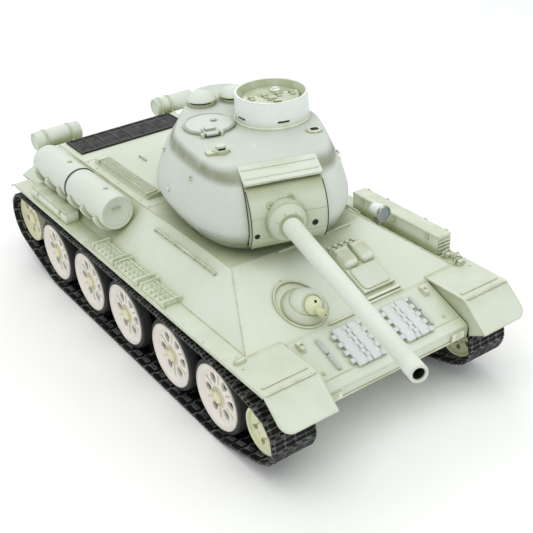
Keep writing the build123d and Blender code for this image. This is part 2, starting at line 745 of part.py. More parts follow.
# ---------------------------------------------------------------- works inside
def gearboxes():
    """Two reduction gearboxes, one for each track."""
    side = [(186, FLOOR_Z + WALL), (207, FLOOR_Z + WALL), (213, 44), (213, 54), (186, 54)]
    case = profile(side, 22, 42) - disc(38, 43, *SPROCKET, 3 + RUN_GAP)
    return both_sides(case)


def drive_motors():
    """Drive motors beside their gearboxes and the turret motor."""
    can = rod((32, 186, 42), (32, 153, 42), 9.5) + rod((32, 153, 42), (32, 150, 42), 3)
    turret_motor = rod((0, RING_Y + PINION_OFFSET, 64), (0, RING_Y + PINION_OFFSET, 82), 8)
    bracket = block(-13, 13, RING_Y + PINION_OFFSET - 9, RING_Y + PINION_OFFSET + 9, 61, 64)
    return both_sides(can) + [turret_motor + bracket]


def battery_pack():
    """Shrink-wrapped pack of six cells."""
    pack = block(-22, 22, -18, 58, 30, 34)
    for x in (-14.6, 0, 14.6):
        for y0 in (-18, 20.5):
            pack += rod((x, y0, 36), (x, y0 + 37, 36), 7.2)
    return pack


def control_board():
    """Receiver and speed control board with its parts and the antenna stub."""
    board = block(-30, 30, 66, 118, 40, 41.6)
    for x, y, wide, deep, tall in ((-16, 80, 14, 14, 2), (10, 84, 18, 10, 3), (-14, 104, 10, 10, 8), (14, 106, 8, 8, 10)):
        board += block(x - wide / 2, x + wide / 2, y - deep / 2, y + deep / 2, 41.6, 41.6 + tall)
    for x in (-27, 27):
        for y in (69, 115):
            board += rod((x, y, FLOOR_Z + WALL), (x, y, 40), 2)
    return board


def speaker():
    """Loudspeaker facing the deck louvres."""
    basket = rod((0, 132, 50), (0, 132, 60), 9, 16) + rod((0, 132, 60), (0, 132, 62), 18)
    basket += rod((0, 132, 44), (0, 132, 50), 8)
    legs = block(-4, 4, 124, 140, FLOOR_Z + WALL, 44)
    return basket + legs - rod((0, 132, 61), (0, 132, 63), 15)


def power_switch():
    """Sliding power switch under the hull."""
    knob = block(-2.6, 2.6, 96.4, 101.0, FLOOR_Z - 1.4, FLOOR_Z + 2.6)
    return knob + block(-5, 5, 94.0, 103.4, FLOOR_Z + 2.6, FLOOR_Z + 3.8)


# ---------------------------------------------------------------- turret

def ring_outline(front, half, rear, shoulder, tail, taper, z, inset=0.0):
    """Closed smooth outline of the turret at one height; taper draws the rear in."""
    front += inset
    rear -= inset
    half -= inset
    right = [
        (0.42 * half, front + 0.8),
        (0.80 * half, front * (1 - shoulder)),
        (half, 0.06 * rear),
        (0.97 * half, (0.42 - 0.12 * taper) * rear),
        (tail * half, (0.86 - 0.16 * taper) * rear),
        (0.45 * tail * half, 0.985 * rear),
    ]
    left = [(-x, y) for x, y in reversed(right)]
    points = [(TURRET_X + x, y, z) for x, y in right + left]
    return Face(Wire([Spline(*points, periodic=True)]))


TURRET_LEVELS = [
    # front, half width, rear, shoulder, tail, taper, height
    (-46.0, 44.5, 46.0, 0.30, 0.62, 0.0, TURRET_Z),
    (-56.0, 54.0, 58.0, 0.34, 0.64, 0.0, 101.0),
    (-61.0, 59.2, 90.0, 0.36, 0.66, 0.1, 108.5),
    (-62.5, 60.7, 99.0, 0.36, 0.66, 0.2, 118.0),
    (-60.0, 57.2, 99.0, 0.34, 0.66, 0.4, 131.0),
    (-55.5, 52.4, 98.0, 0.30, 0.64, 0.7, 142.0),
    (-48.0, 49.8, 97.5, 0.24, 0.62, 0.9, 147.0),
    (-38.0, 47.6, 96.5, 0.14, 0.60, 1.0, TURRET_ROOF_Z),
]


def turret_body(inset=0.0):
    """The turret casting's outside, or the space inside it, as a full solid."""
    faces = []
    for front, half, rear, shoulder, tail, taper, z in TURRET_LEVELS:
        low = TURRET_LEVELS[0][-1] + inset
        high = TURRET_LEVELS[-1][-1] - inset
        level = min(max(z, low), high)
        faces.append(ring_outline(front, half, rear, shoulder, tail, taper, level, 1.1 * inset))
    if inset:
        faces = [faces[0]] + faces[2:-2] + [faces[-1]]
    return loft(faces, ruled=True)


def turret_shell():
    """Cast turret shell with its ring collar and the mantlet opening."""
    shell = turret_body() - turret_body(2.4)
    left, right = MANTLET_X - MANTLET_HALF - 0.6, MANTLET_X + MANTLET_HALF + 0.6
    sweep = disc(left, right, TRUNNION_Y, TRUNNION_Z, MANTLET_R + 0.6)
    shell -= sweep & block(-40, 40, -90, 0, TURRET_Z + 3.4, TURRET_ROOF_Z)
    shell -= block(left, right, -90, TRUNNION_Y - 16, 102, 134)
    shell -= block(-15, 15, -90, TRUNNION_Y - 17, 133, 141.6)
    shell -= rod((0, 0, TURRET_Z - 1), (0, 0, TURRET_Z + 4), RING_R - 5)
    collar = rod((0, 0, ROOF_Z - 4.3), (0, 0, TURRET_Z + 1.5), RING_R)
    collar -= rod((0, 0, ROOF_Z - 5), (0, 0, TURRET_Z + 5), RING_R - 5)
    for x0, x1 in ((left - 3, left), (right, right + 3)):
        cheek = disc(x0, x1, TRUNNION_Y, TRUNNION_Z, 17)
        cheek += block(x0, x1, TRUNNION_Y, TRUNNION_Y + 16, TURRET_Z + 1, TRUNNION_Z)
        shell += cheek - disc(x0 - 1, x1 + 1, TRUNNION_Y, TRUNNION_Z, 3.0 + RUN_GAP)
    shell += collar
    for x, y, r in ((CUPOLA[0] + 1, CUPOLA[1], 15.5), (LOADER[0], LOADER[1], LOADER_R - 2.5)):
        shell -= rod((x, y, TURRET_ROOF_Z - 5), (x, y, TURRET_ROOF_Z + 1), r)
    return traversed(shell)


def ring_gear():
    """Internal gear under the turret ring."""
    z0 = ROOF_Z - 8.3
    pitch_r = RING_TEETH * GEAR_MODULE / 2
    ring = rod((0, 0, z0), (0, 0, z0 + 4), RING_R - 0.2)
    ring -= rod((0, 0, z0 - 1), (0, 0, z0 + 5), pitch_r + 1.4)
    half = math.pi * pitch_r / RING_TEETH * 0.36
    tooth = [
        (pitch_r + 2, -half * 1.3),
        (pitch_r - 0.9, -half * 0.6),
        (pitch_r - 0.9, half * 0.6),
        (pitch_r + 2, half * 1.3),
    ]
    blank = extrude(Plane.XY.offset(z0) * Polygon(*tooth, align=None), 4, dir=(0, 0, 1))
    step = 360 / RING_TEETH
    ring += [Rot(0, 0, 90 + (index + 0.5) * step) * blank for index in range(RING_TEETH)]
    return Pos(0, RING_Y, 0) * ring


def traverse_pinion():
    """Pinion of the turret motor, in mesh with the ring gear."""
    wheel = Rot(0, 0, 90) * gear(PINION_TEETH, GEAR_MODULE, 4, 0)
    shaft = Pos(0, 0, -2.15) * Cylinder(1.5, 0.3)
    return Pos(0, RING_Y + PINION_OFFSET, ROOF_Z - 6.3) * (wheel + shaft)


def mantlet():
    """Rounded gun mantlet with its collar and trunnion pins."""
    full = Pos(MANTLET_X, TRUNNION_Y, TRUNNION_Z) * Rot(0, 90, 0)
    left, right = MANTLET_X - MANTLET_HALF, MANTLET_X + MANTLET_HALF
    shield = full * (Cylinder(MANTLET_R, 2 * MANTLET_HALF) - Cylinder(MANTLET_R - 2.6, 2 * MANTLET_HALF + 1))
    keep = [
        (TRUNNION_Y - 1, TRUNNION_Z),
        (TRUNNION_Y - 13, TRUNNION_Z + 40),
        (TRUNNION_Y - 60, TRUNNION_Z + 40),
        (TRUNNION_Y - 60, TRUNNION_Z - 40),
        (TRUNNION_Y - 38, TRUNNION_Z - 40),
    ]
    shield &= profile(keep, -40, 40)
    front = TRUNNION_Y - MANTLET_R
    for x0 in (left, right - 2.4):
        web = full * Cylinder(MANTLET_R - 1, 2 * MANTLET_HALF)
        shield += web & profile(keep, x0, x0 + 2.4)
        shield += disc(x0, x0 + 2.4, TRUNNION_Y, TRUNNION_Z, 6)
    shield += disc(left - 3.4, left + 1, TRUNNION_Y, TRUNNION_Z, 3)
    shield += disc(right - 1, right + 3.4, TRUNNION_Y, TRUNNION_Z, 3)
    axis_start = (0, front + 3, TRUNNION_Z)
    shield += rod(axis_start, (0, front - 3.5, TRUNNION_Z), 13.4, 11.8)
    shield += rod((0, front - 3.5, TRUNNION_Z), (0, front - 9.5, TRUNNION_Z), 11.8, 8.2)
    shield -= rod((0, front + 10, TRUNNION_Z), (0, front - 12, TRUNNION_Z), 6.0)
    for x, z, r in ((-18.5, -7.5, 1.3), (18.6, -5.0, 1.5)):
        hole_y = TRUNNION_Y - math.sqrt(MANTLET_R**2 - z**2)
        shield -= rod((x, hole_y - 3, TRUNNION_Z + z), (x, hole_y + 1.6, TRUNNION_Z + z), r)
    return traversed(elevated(shield))


def gun_barrel():
    """Tapered gun tube with an open bore, its sleeve held in the mantlet."""
    y0 = TRUNNION_Y - 8
    y1 = TRUNNION_Y - 42
    muzzle = TRUNNION_Y - GUN_LENGTH
    tube = rod((0, y0, TRUNNION_Z), (0, y1, TRUNNION_Z), 6.0)
    tube += rod((0, y1, TRUNNION_Z), (0, muzzle + 9, TRUNNION_Z), 5.6, 4.6)
    tube += rod((0, muzzle + 9, TRUNNION_Z), (0, muzzle, TRUNNION_Z), 4.75)
    tube -= rod((0, muzzle - 1, TRUNNION_Z), (0, muzzle + 60, TRUNNION_Z), 3.1)
    return traversed(elevated(tube))


def cupola():
    """Commander's cupola: drum with a raised rim, slits and a fixed rear half."""
    x, y = CUPOLA
    z = TURRET_ROOF_Z
    drum = rod((x, y, z), (x, y, z + CUPOLA_H), CUPOLA_R + 0.9, CUPOLA_R + 0.5)
    drum -= rod((x, y, z + 12.4), (x, y, z + CUPOLA_H + 0.1), 19.6, CUPOLA_R - 0.9)
    drum -= rod((x, y, z - 1), (x, y, z + 17), 15.5)
    plate = rod((x, y, z + 10), (x, y, z + 13.2), 19.4)
    plate &= block(x - 30, x + 30, y + 0.4, y + 30, z, z + 20)
    drum += plate
    for index in range(5):
        turned = Pos(x, y, z + 4.6) * Rot(0, 0, 72 * index - 90)
        drum -= turned * Pos(CUPOLA_R, 0, 0) * Box(3.0, 8.0, 1.4)
    return traversed(drum)


def cupola_hatch():
    """Front half of the cupola's lid, hinged across the middle."""
    x, y = CUPOLA
    z = TURRET_ROOF_Z
    lid = rod((x, y, z + 12.5), (x, y, z + 14.4), 18.6)
    lid &= block(x - 30, x + 30, y - 30, y - 0.2, z, z + 20)
    for dx in (-14, -4.7, 4.7, 14):
        lid += disc(x + dx - 2, x + dx + 2, y - 0.2, z + 14.9, 1.1)
    lid += block(x - 2, x + 2, y - 15, y - 12, z + 14.4, z + 15.8)
    return traversed(lid)


def loader_hatch():
    """Round loader's lid with its hinge arm and latch."""
    x, y = LOADER
    z = TURRET_ROOF_Z
    lid = rod((x, y, z + 0.05), (x, y, z + 1.7), LOADER_R)
    lid += block(x - 8, x + 2, y - LOADER_R - 1.6, y - LOADER_R + 8, z + 1.0, z + 2.6)
    lid += disc(x - 7.0, x + 1.0, y - LOADER_R - 1.6, z + 1.9, 1.5)
    lid += block(x - 6.4, x + 0.4, y - LOADER_R + 2.4, y - LOADER_R + 6.8, z + 2.6, z + 4.2)
    return traversed(lid)


def turret_fittings():
    """Ventilator domes, periscopes, hinge ears, lifting eyes and the mantlet rain strip."""
    z = TURRET_ROOF_Z
    group = []
    for x, y in ((-14.5, 66.0), (9.0, 66.0)):
        dome = Pos(x, y, z - 2.8) * Sphere(12.2)
        dome &= block(x - 20, x + 20, y - 20, y + 20, z + 3.4, z + 12)
        group.append(dome + rod((x, y, z), (x, y, z + 3.6), 9.4))
    scope = rod((-25, -19.0, z), (-25, -19.0, z + 2.4), 5.2) + block(-34.5, -25, -22.5, -16, z, z + 1.6)
    group.append(scope + rod((-25, -19.0, z + 2), (-25, -19.0, z + 4.6), 3.2))
    boss = rod((40, -11, z - 2), (40, -11, z + 1.2), 5.0) - Pos(40, -11, z + 1) * Box(5.4, 3.4, 2.4)
    group.append(boss - turret_body())
    hinge_y = LOADER[1] - LOADER_R - 1.6
    for x in (LOADER[0] - 10.4, LOADER[0] + 2.4):
        group.append(block(x, x + 2, hinge_y - 1.3, hinge_y + 1.3, z, z + 2.8))
    strip = [(-44.2, 148.9), (-57.6, 142.4), (-58.4, 144.2), (-45.0, 150.6)]
    plate = profile(strip, MANTLET_X - 25, MANTLET_X + 25) - turret_body()
    for along in (0.25, 0.72):
        y = strip[3][0] + (strip[2][0] - strip[3][0]) * along
        top = strip[3][1] + (strip[2][1] - strip[3][1]) * along
        plate += rod((MANTLET_X - 23.4, y, top), (MANTLET_X + 23.4, y, top), 0.7)
    group.append(plate.solids().sort_by(SortBy.VOLUME)[-1])
    return [traversed(piece) for piece in group]


# ---------------------------------------------------------------- writing
def write_running_gear():
    """Wheels, arms, idlers, sprockets and tracks on both sides."""
    wheel = road_wheel()
    arm = swing_arm()
    for side, name in ((1, "left"), (-1, "right")):
        for number, y in enumerate(WHEEL_Y, 1):
            place = Pos(0, y, WHEEL_Z)
            for part, label in ((wheel, "road_wheel"), (arm, "swing_arm")):
                placed = place * part
                save(f"{label}_{name}_{number}", placed if side > 0 else mirror(placed, Plane.YZ))
        fixed = {
            "idler": Pos(0, *IDLER) * idler(),
            "sprocket": Pos(0, *SPROCKET) * sprocket(),
            "track": track(),
        }
        for label, part in fixed.items():
            save(f"{label}_{name}", part if side > 0 else mirror(part, Plane.YZ))


def main():
    os.makedirs("parts", exist_ok=True)
    save("upper_hull", upper_hull())
    save("lower_hull", lower_hull())
    save("battery_door", battery_door())
    save("screws", *screws())
    save("fenders", *fenders())
    save("engine_deck", engine_deck())
    save("mesh_screen", mesh_screen())
    save("fuel_drums", *fuel_drums())
    save("drum_brackets", *drum_brackets())
    save("smoke_canisters", *smoke_canisters())
    save("stowage_boxes", *stowage_boxes())
    save("cleat_racks", *cleat_racks())
    save("spare_links", *spare_links())
    save("hull_fittings", *hull_fittings())
    lamp, lens = headlamp()
    save("headlamp", lamp)
    save("headlamp_lens", lens)
    save("bow_gun_mount", bow_gun_mount())
    save("bow_gun", bow_gun())
    save("driver_hatch", driver_hatch())
    save("gearboxes", *gearboxes())
    save("drive_motors", *drive_motors())
    save("battery_pack", battery_pack())
    save("control_board", control_board())
    save("speaker", speaker())
    save("power_switch", power_switch())
    save("turret_shell", turret_shell())
    save("ring_gear", ring_gear())
    save("traverse_pinion", traverse_pinion())
    save("mantlet", mantlet())
    save("gun_barrel", gun_barrel())
    save("cupola", cupola())
    save("cupola_hatch", cupola_hatch())
    save("loader_hatch", loader_hatch())
    save("turret_fittings", *turret_fittings())
    write_running_gear()


if __name__ == "__main__":
    main()
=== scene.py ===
"""Looks of a radio-controlled tank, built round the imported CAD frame.

Sizes inside the builders are in millimetres and are scaled to metres when a piece is made.
"""

import math
import random

import bmesh
import bpy
from mathutils import Matrix, Vector


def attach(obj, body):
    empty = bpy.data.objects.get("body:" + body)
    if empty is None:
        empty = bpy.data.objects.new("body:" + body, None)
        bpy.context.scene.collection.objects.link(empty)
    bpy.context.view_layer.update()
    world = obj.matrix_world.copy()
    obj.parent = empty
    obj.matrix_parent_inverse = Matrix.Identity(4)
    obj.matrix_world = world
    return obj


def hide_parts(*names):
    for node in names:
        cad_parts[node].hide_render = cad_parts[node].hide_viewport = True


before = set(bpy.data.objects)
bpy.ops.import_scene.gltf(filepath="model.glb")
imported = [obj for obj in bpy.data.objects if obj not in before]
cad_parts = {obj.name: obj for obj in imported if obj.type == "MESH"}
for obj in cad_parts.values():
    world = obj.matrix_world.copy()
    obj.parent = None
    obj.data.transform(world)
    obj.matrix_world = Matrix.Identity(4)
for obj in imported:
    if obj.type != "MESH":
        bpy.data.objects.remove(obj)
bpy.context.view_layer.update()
random.seed(34)

MM = 0.001
TAU = 2 * math.pi

# Sizes and places of the CAD model, in millimetres. Turret values are in the turret's own frame.
NOSE = (-136.9, 55.1)
ROOF_FRONT_Y = -42.1
ROOF_Z = 92.3
ROOF_HALF = 52.1
ROOF_REAR_Y = 203.0
REAR_LIP = (219.0, 68.7)
SPONSON_HALF = 80.7
FENDER_Z = 70.7
WHEEL_Y = [-72.2, -17.3, 44.0, 99.0, 155.2]
WHEEL_Z = 28.85
TYRE_R = 25.1
RIM_R = 22.2
IDLER = (-118.0, 32.5)
IDLER_R = 15.5
SPROCKET = (203.5, 38.0)
SPROCKET_R = 18.5
RUN_X = 76.5
TRACK_WIDTH = 30.6
TRACK_T = 3.4
LINKS = 72
LINK_PITCH = 10.7
LINK_TEETH = 9
TRACK_GAP = 0.35
RING_Y = 8.0
TURRET_Z = 93.8
TURRET_ROOF_Z = 150.0
TRAVERSE = math.radians(-17.0)
TRUNNION = (-42.0, 119.1)
MANTLET_R = 25.6
MANTLET_HALF = 24.2
MANTLET_X = 2.6
TURRET_X = 3.0
GUN_ELEVATION = math.radians(3.5)
GUN_LENGTH = 204.8
CUPOLA = (23.1, 24.4)
CUPOLA_R = 24.0
LOADER = (-20.4, 25.4)
DOMES = ((-14.5, 66.0), (9.0, 66.0))
SCREEN_HALF = 45.0
DRUM = (-73.0, 94.2)
DRUM_R = 12.4
BALL_R = 6.4
HATCH_X = 23.3
RAIL_Y = {-1: (-34, 40), 1: (-30, 70)}
SIDES = ((1, "left"), (-1, "right"))

SLOPE = math.atan2(ROOF_Z - NOSE[1], ROOF_FRONT_Y - NOSE[0])
TURRET_PLACE = Matrix.Translation((0, RING_Y, 0)) @ Matrix.Rotation(TRAVERSE, 4, "Z")
GUN_PIVOT = Matrix.Translation((0, TRUNNION[0], TRUNNION[1]))
GUN_PLACE = TURRET_PLACE @ GUN_PIVOT @ Matrix.Rotation(-GUN_ELEVATION, 4, "X") @ GUN_PIVOT.inverted()


def glacis(x, y, height=0.0):
    """Placement on the front plate: local Y up the plate, local Z out of it."""
    z = NOSE[1] + (y - NOSE[0]) * math.tan(SLOPE)
    turn = Matrix.Rotation(SLOPE, 4, "X")
    return Matrix.Translation((x, y, z)) @ turn @ Matrix.Translation((0, 0, height))


def side_slope(side, y, share):
    """Placement on a sloping hull side, share 0 at the fender and 1 at the roof."""
    low = Vector((side * SPONSON_HALF, y, FENDER_Z))
    high = Vector((side * ROOF_HALF, y, ROOF_Z))
    lean = math.atan2(high.z - low.z, abs(high.x - low.x))
    return Matrix.Translation(low.lerp(high, share)) @ Matrix.Rotation(side * lean, 4, "Y")


# ---------------------------------------------------------------- shape building
def around(steps, start=0.0):
    """Cosine and sine of equal steps round a full turn."""
    angles = [TAU * (k + start) / steps for k in range(steps)]
    return [(math.cos(a), math.sin(a)) for a in angles]


def sweep(first, step, count):
    """Cosine and sine of count angles, in degrees, from first on."""
    angles = [math.radians(first + step * k) for k in range(count)]
    return [(math.cos(a), math.sin(a)) for a in angles]


class Shape:
    """Mesh in millimetres that is filled with simple closed forms, then made into one piece."""

    def __init__(self, name, place=Matrix()):
        self.name = name
        self.bm = bmesh.new()
        self.place = place

    def at(self, place=Matrix()):
        """Sets where the forms that follow are placed."""
        self.place = place
        return self

    def vert(self, point):
        return self.bm.verts.new(self.place @ Vector(point))

    def skin(self, rings, caps=True):
        """Joins closed rings of points with quads."""
        loops = [[self.vert(p) for p in ring] for ring in rings]
        count = len(loops[0])
        for lower, upper in zip(loops, loops[1:]):
            for i in range(count):
                j = (i + 1) % count
                self.bm.faces.new((lower[i], lower[j], upper[j], upper[i]))
        if caps:
            self.bm.faces.new(list(reversed(loops[0])))
            self.bm.faces.new(loops[-1])

    def band(self, rings):
        """Joins rings of points all the way round, the last one to the first."""
        self.skin(rings + rings[:1], caps=False)

    def hoop(self, outline, steps=72):
        """Ring turned about X from a closed outline of (radius, x)."""
        self.band([[(x, r * c, r * s) for r, x in outline] for c, s in around(steps)])
        bmesh.ops.remove_doubles(self.bm, verts=self.bm.verts, dist=0.001)

    def collar(self, outline, x=0.0, y=0.0, steps=64):
        """Ring turned about local Z from a closed outline of (radius, height)."""
        self.band([[(x + r * c, y + r * s, z) for r, z in outline] for c, s in around(steps)])

    def box(self, x0, x1, y0, y1, z0, z1, taper=0.0):
        """Box whose top is smaller by taper on every side."""
        t = taper
        low = [(x0, y0, z0), (x1, y0, z0), (x1, y1, z0), (x0, y1, z0)]
        high = [(x0 + t, y0 + t, z1), (x1 - t, y0 + t, z1), (x1 - t, y1 - t, z1), (x0 + t, y1 - t, z1)]
        self.skin([low, high])

    def prism(self, points, x0, x1):
        """Polygon in (y, z) drawn out along X."""
        self.skin([[(x, y, z) for y, z in points] for x in (x0, x1)])

    def lathe(self, outline, start, way=(0, 0, 1), steps=32):
        """Closed turned form: outline is (radius, distance) from start along the direction way."""
        axis = Vector(way).normalized()
        across = axis.orthogonal().normalized()
        other = axis.cross(across)
        rings = []
        for radius, distance in outline:
            middle = Vector(start) + axis * distance
            rings.append([middle + (across * c + other * s) * max(radius, 0.01) for c, s in around(steps)])
        self.skin(rings)

    def rod(self, start, end, radius, steps=16, soft=0.12):
        """Round bar with softened ends."""
        way = Vector(end) - Vector(start)
        length = way.length
        cut = min(soft * radius, length / 3)
        outline = [(radius - cut, 0), (radius, cut), (radius, length - cut), (radius - cut, length)]
        self.lathe(outline, start, way, steps)

    def tube(self, points, radius, steps=8, wobble=0.0):
        """Bar bent along points, with an uneven surface when wobble is given."""
        rings = []
        points = [Vector(p) for p in points]
        side = None
        for i, p in enumerate(points):
            axis = (points[min(i + 1, len(points) - 1)] - points[max(i - 1, 0)]).normalized()
            if side is None:
                side = axis.orthogonal().normalized()
            side = (side - axis * side.dot(axis)).normalized()
            other = axis.cross(side)
            r = radius * (1 + random.uniform(-wobble, wobble))
            rings.append([p + (side * c + other * s) * r for c, s in around(steps)])
        self.skin(rings)

    def bolt(self, x, y, z=0.0, radius=0.9, height=0.7):
        """Hexagon bolt head standing on local Z."""
        self.lathe([(radius, -0.2), (radius, height * 0.8), (radius * 0.75, height)], (x, y, z), steps=6)

    def object(self, bevel=0.25, angle=34, segments=2):
        """Makes the forms one object in metres."""
        bmesh.ops.recalc_face_normals(self.bm, faces=self.bm.faces)
        data = bpy.data.meshes.new(self.name)
        self.bm.to_mesh(data)
        self.bm.free()
        data.transform(Matrix.Scale(MM, 4))
        obj = bpy.data.objects.new(self.name, data)
        bpy.context.scene.collection.objects.link(obj)
        soften(obj, bevel, angle, segments)
        return obj

    def piece(self, body, look, replaces=(), bevel=0.25, angle=34, segments=2):
        """Makes the mesh a piece that rides on a body."""
        dress(self.object(bevel, angle, segments), body, look, replaces)


def round_edges(obj, bevel, angle, segments=2):
    """Bevels every edge sharper than angle."""
    edge = obj.modifiers.new("edges", "BEVEL")
    edge.width = bevel * MM
    edge.segments = segments
    edge.limit_method = "ANGLE"
    edge.angle_limit = math.radians(angle)


def soften(obj, bevel, angle=34, segments=2):
    """Rounds the hard edges and smooths what is left."""
    obj.data.polygons.foreach_set("use_smooth", [True] * len(obj.data.polygons))
    obj.data.set_sharp_from_angle(angle=math.radians(angle))
    if bevel:
        round_edges(obj, bevel, angle, segments)


def dress(obj, body, look, replaces=()):
    """Gives a piece its material, its body and the CAD nodes that it stands for."""
    obj.data.materials.clear()
    obj.data.materials.append(M[look])
    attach(obj, body)
    if replaces:
        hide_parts(*replaces)


def carve(obj, cutters, operation="DIFFERENCE"):
    """Applies booleans to obj with the cutter objects, which are then removed."""
    for cutter in cutters:
        step = obj.modifiers.new("cut", "BOOLEAN")
        step.object = cutter
        step.operation = operation
        step.solver = "EXACT"
    bpy.context.view_layer.update()
    graph = bpy.context.evaluated_depsgraph_get()
    data = bpy.data.meshes.new_from_object(obj.evaluated_get(graph))
    old = obj.data
    obj.modifiers.clear()
    obj.data = data
    bpy.data.meshes.remove(old)
    for cutter in cutters:
        bpy.data.objects.remove(cutter)
    return obj


# ---------------------------------------------------------------- materials
class Nodes:
    """Short way to build a node tree."""

    def __init__(self, name):
        self.material = bpy.data.materials.new(name)
        self.material.use_nodes = True
        self.tree = self.material.node_tree
        self.shader = self.tree.nodes["Principled BSDF"]
        self.coords = self.new("ShaderNodeTexCoord").outputs["Object"]

    def new(self, kind, **settings):
        node = self.tree.nodes.new(kind)
        for key, value in settings.items():
            setattr(node, key, value)
        return node

    def feed(self, socket, value):
        if isinstance(value, bpy.types.NodeSocket):
            self.tree.links.new(value, socket)
        else:
            socket.default_value = value

    def noise(self, scale, detail=3.0, rough=0.5, warp=0.0):
        node = self.new("ShaderNodeTexNoise")
        self.feed(node.inputs["Vector"], self.coords)
        for socket, number in zip(("Scale", "Detail", "Roughness", "Distortion"), (scale, detail, rough, warp)):
            node.inputs[socket].default_value = number
        return node.outputs["Fac"]

    def ramp(self, value, low, high, to_low=0.0, to_high=1.0):
        node = self.new("ShaderNodeMapRange", interpolation_type="SMOOTHSTEP")
        self.feed(node.inputs["Value"], value)
        for socket, number in zip(("From Min", "From Max", "To Min", "To Max"), (low, high, to_low, to_high)):
            node.inputs[socket].default_value = number
        return node.outputs["Result"]

    def math(self, kind, a, b):
        node = self.new("ShaderNodeMath", operation=kind)
        self.feed(node.inputs[0], a)
        self.feed(node.inputs[1], b)
        return node.outputs[0]

    def mix(self, share, a, b):
        node = self.new("ShaderNodeMix", data_type="RGBA")
        self.feed(node.inputs["Factor"], share)
        self.feed(node.inputs[6], a)
        self.feed(node.inputs[7], b)
        return node.outputs[2]

    def cavity(self, distance, inside=False):
        """1 in corners (or on edges when inside is set), 0 in the open."""
        node = self.new("ShaderNodeAmbientOcclusion", inside=inside, samples=6, only_local=False)
        node.inputs["Distance"].default_value = distance
        return self.math("SUBTRACT", 1.0, node.outputs["AO"])

    def bump(self, height, strength, distance):
        node = self.new("ShaderNodeBump")
        node.inputs["Strength"].default_value = strength
        node.inputs["Distance"].default_value = distance
        self.feed(node.inputs["Height"], height)
        self.feed(self.shader.inputs["Normal"], node.outputs["Normal"])

    def finish(self, color, rough, **plain):
        self.feed(self.shader.inputs["Base Color"], color)
        self.feed(self.shader.inputs["Roughness"], rough)
        for key, value in plain.items():
            self.shader.inputs[key.replace("_", " ")].default_value = value
        return self.material


def rgb(r, g, b):
    """Linear colour from 0-255 display values."""
    def linear(v):
        v /= 255
        return v / 12.92 if v <= 0.04045 else ((v + 0.055) / 1.055) ** 2.4
    return (linear(r), linear(g), linear(b), 1.0)


def dimmed(color, share):
    """The same colour, darker by a share of its light."""
    return tuple(c * share for c in color[:3]) + (1.0,)


def paint(name, light, shade, grain=0.25, reach=0.020, strength=0.75, speck=0.3, low=0.06, high=0.5,
          drifts=0.12, rub=0.55, bands=()):
    """Matt airbrushed paint: light faces with olive painted shade in recesses, along convex edges and in level
    bands, and darker painted shade in crevices.

    Bands are (middle height, half height, depth of painted shade), the heights in metres.
    """
    n = Nodes(name)
    broad = n.noise(14, 1, 0.4)
    cloud = n.noise(75, 4, 0.6, 0.2)
    fine = n.noise(900, 3, 0.6)
    # Painted shade: olive darkening in recesses, found with ambient occlusion.
    corner = n.ramp(n.cavity(reach), low, high)
    # Painted shade: olive darkening along convex edges.
    edge = n.ramp(n.cavity(0.0015, inside=True), 0.18, 0.75, 0.0, rub)
    patchy_recess_shade = n.math("MULTIPLY", corner, n.ramp(cloud, 0.25, 0.7, 0.8, 1.0))
    drift_and_band_shade = n.ramp(broad, 0.44, 0.74, 0.0, drifts)
    if bands:
        height = n.new("ShaderNodeSeparateXYZ")
        n.feed(height.inputs[0], n.coords)
        # Painted shade: olive bands at set heights, such as under a roof edge and round a foot.
        for middle, half, depth in bands:
            away = n.math("ABSOLUTE", n.math("SUBTRACT", height.outputs["Z"], middle), 0.0)
            band = n.ramp(away, 0.15 * half, half, depth, 0.0)
            band = n.math("MULTIPLY", band, n.ramp(cloud, 0.2, 0.7, 0.7, 1.0))
            drift_and_band_shade = n.math("MAXIMUM", drift_and_band_shade, band)
    convex_edge_shade = n.math("MULTIPLY", edge, n.ramp(cloud, 0.30, 0.62, 0.35, 1.0))
    amount = n.math("MAXIMUM", n.math("MULTIPLY", patchy_recess_shade, strength), n.math("MAXIMUM", drift_and_band_shade, convex_edge_shade))
    base = n.mix(n.ramp(cloud, 0.3, 0.75), light, dimmed(light, 0.98))
    color = n.mix(amount, base, shade)
    spots = n.math("MULTIPLY", n.ramp(n.noise(620, 2, 0.4), 0.71, 0.77), speck)
    # Painted shade: near-black in tight crevices and gaps, together with random dark specks.
    specks_and_crevice_shade = n.math("MAXIMUM", spots, n.ramp(n.cavity(0.0024), 0.62, 0.95, 0.0, 0.85))
    color = n.mix(specks_and_crevice_shade, color, dimmed(shade, 0.42))
    n.bump(n.math("ADD", fine, n.math("MULTIPLY", n.noise(260, 3, 0.5), 1.2)), grain, 0.00035)
    return n.finish(color, n.ramp(fine, 0.3, 0.7, 0.52, 0.72), Specular_IOR_Level=0.35)


def plain(name, color, rough=0.5, metal=0.0, dust=0.35, tint=None, grain=0.15, bright=0.0):
    """Bare plastic, rubber or metal with dust in corners and lighter convex edges when bright is given."""
    n = Nodes(name)
    cloud = n.noise(140, 4, 0.6, 0.3)
    fine = n.noise(500, 3, 0.6)
    corner = n.ramp(n.cavity(0.006), 0.25, 0.9, 0.0, dust)
    result = n.mix(n.ramp(cloud, 0.3, 0.7), color, dimmed(color, 0.72))
    dirt = n.math("MULTIPLY", corner, n.ramp(cloud, 0.35, 0.65))
    result = n.mix(dirt, result, tint or rgb(150, 148, 128))
    if bright:
        edge = n.ramp(n.cavity(0.0009, inside=True), 0.35, 0.85)
        edge = n.math("MULTIPLY", edge, n.ramp(cloud, 0.35, 0.6, 0.25, bright))
        result = n.mix(edge, result, rgb(150, 152, 150))
    n.bump(fine, grain, 0.0003)
    n.shader.inputs["Metallic"].default_value = metal
    return n.finish(result, n.ramp(fine, 0.3, 0.7, max(rough - 0.1, 0.05), min(rough + 0.12, 1.0)))
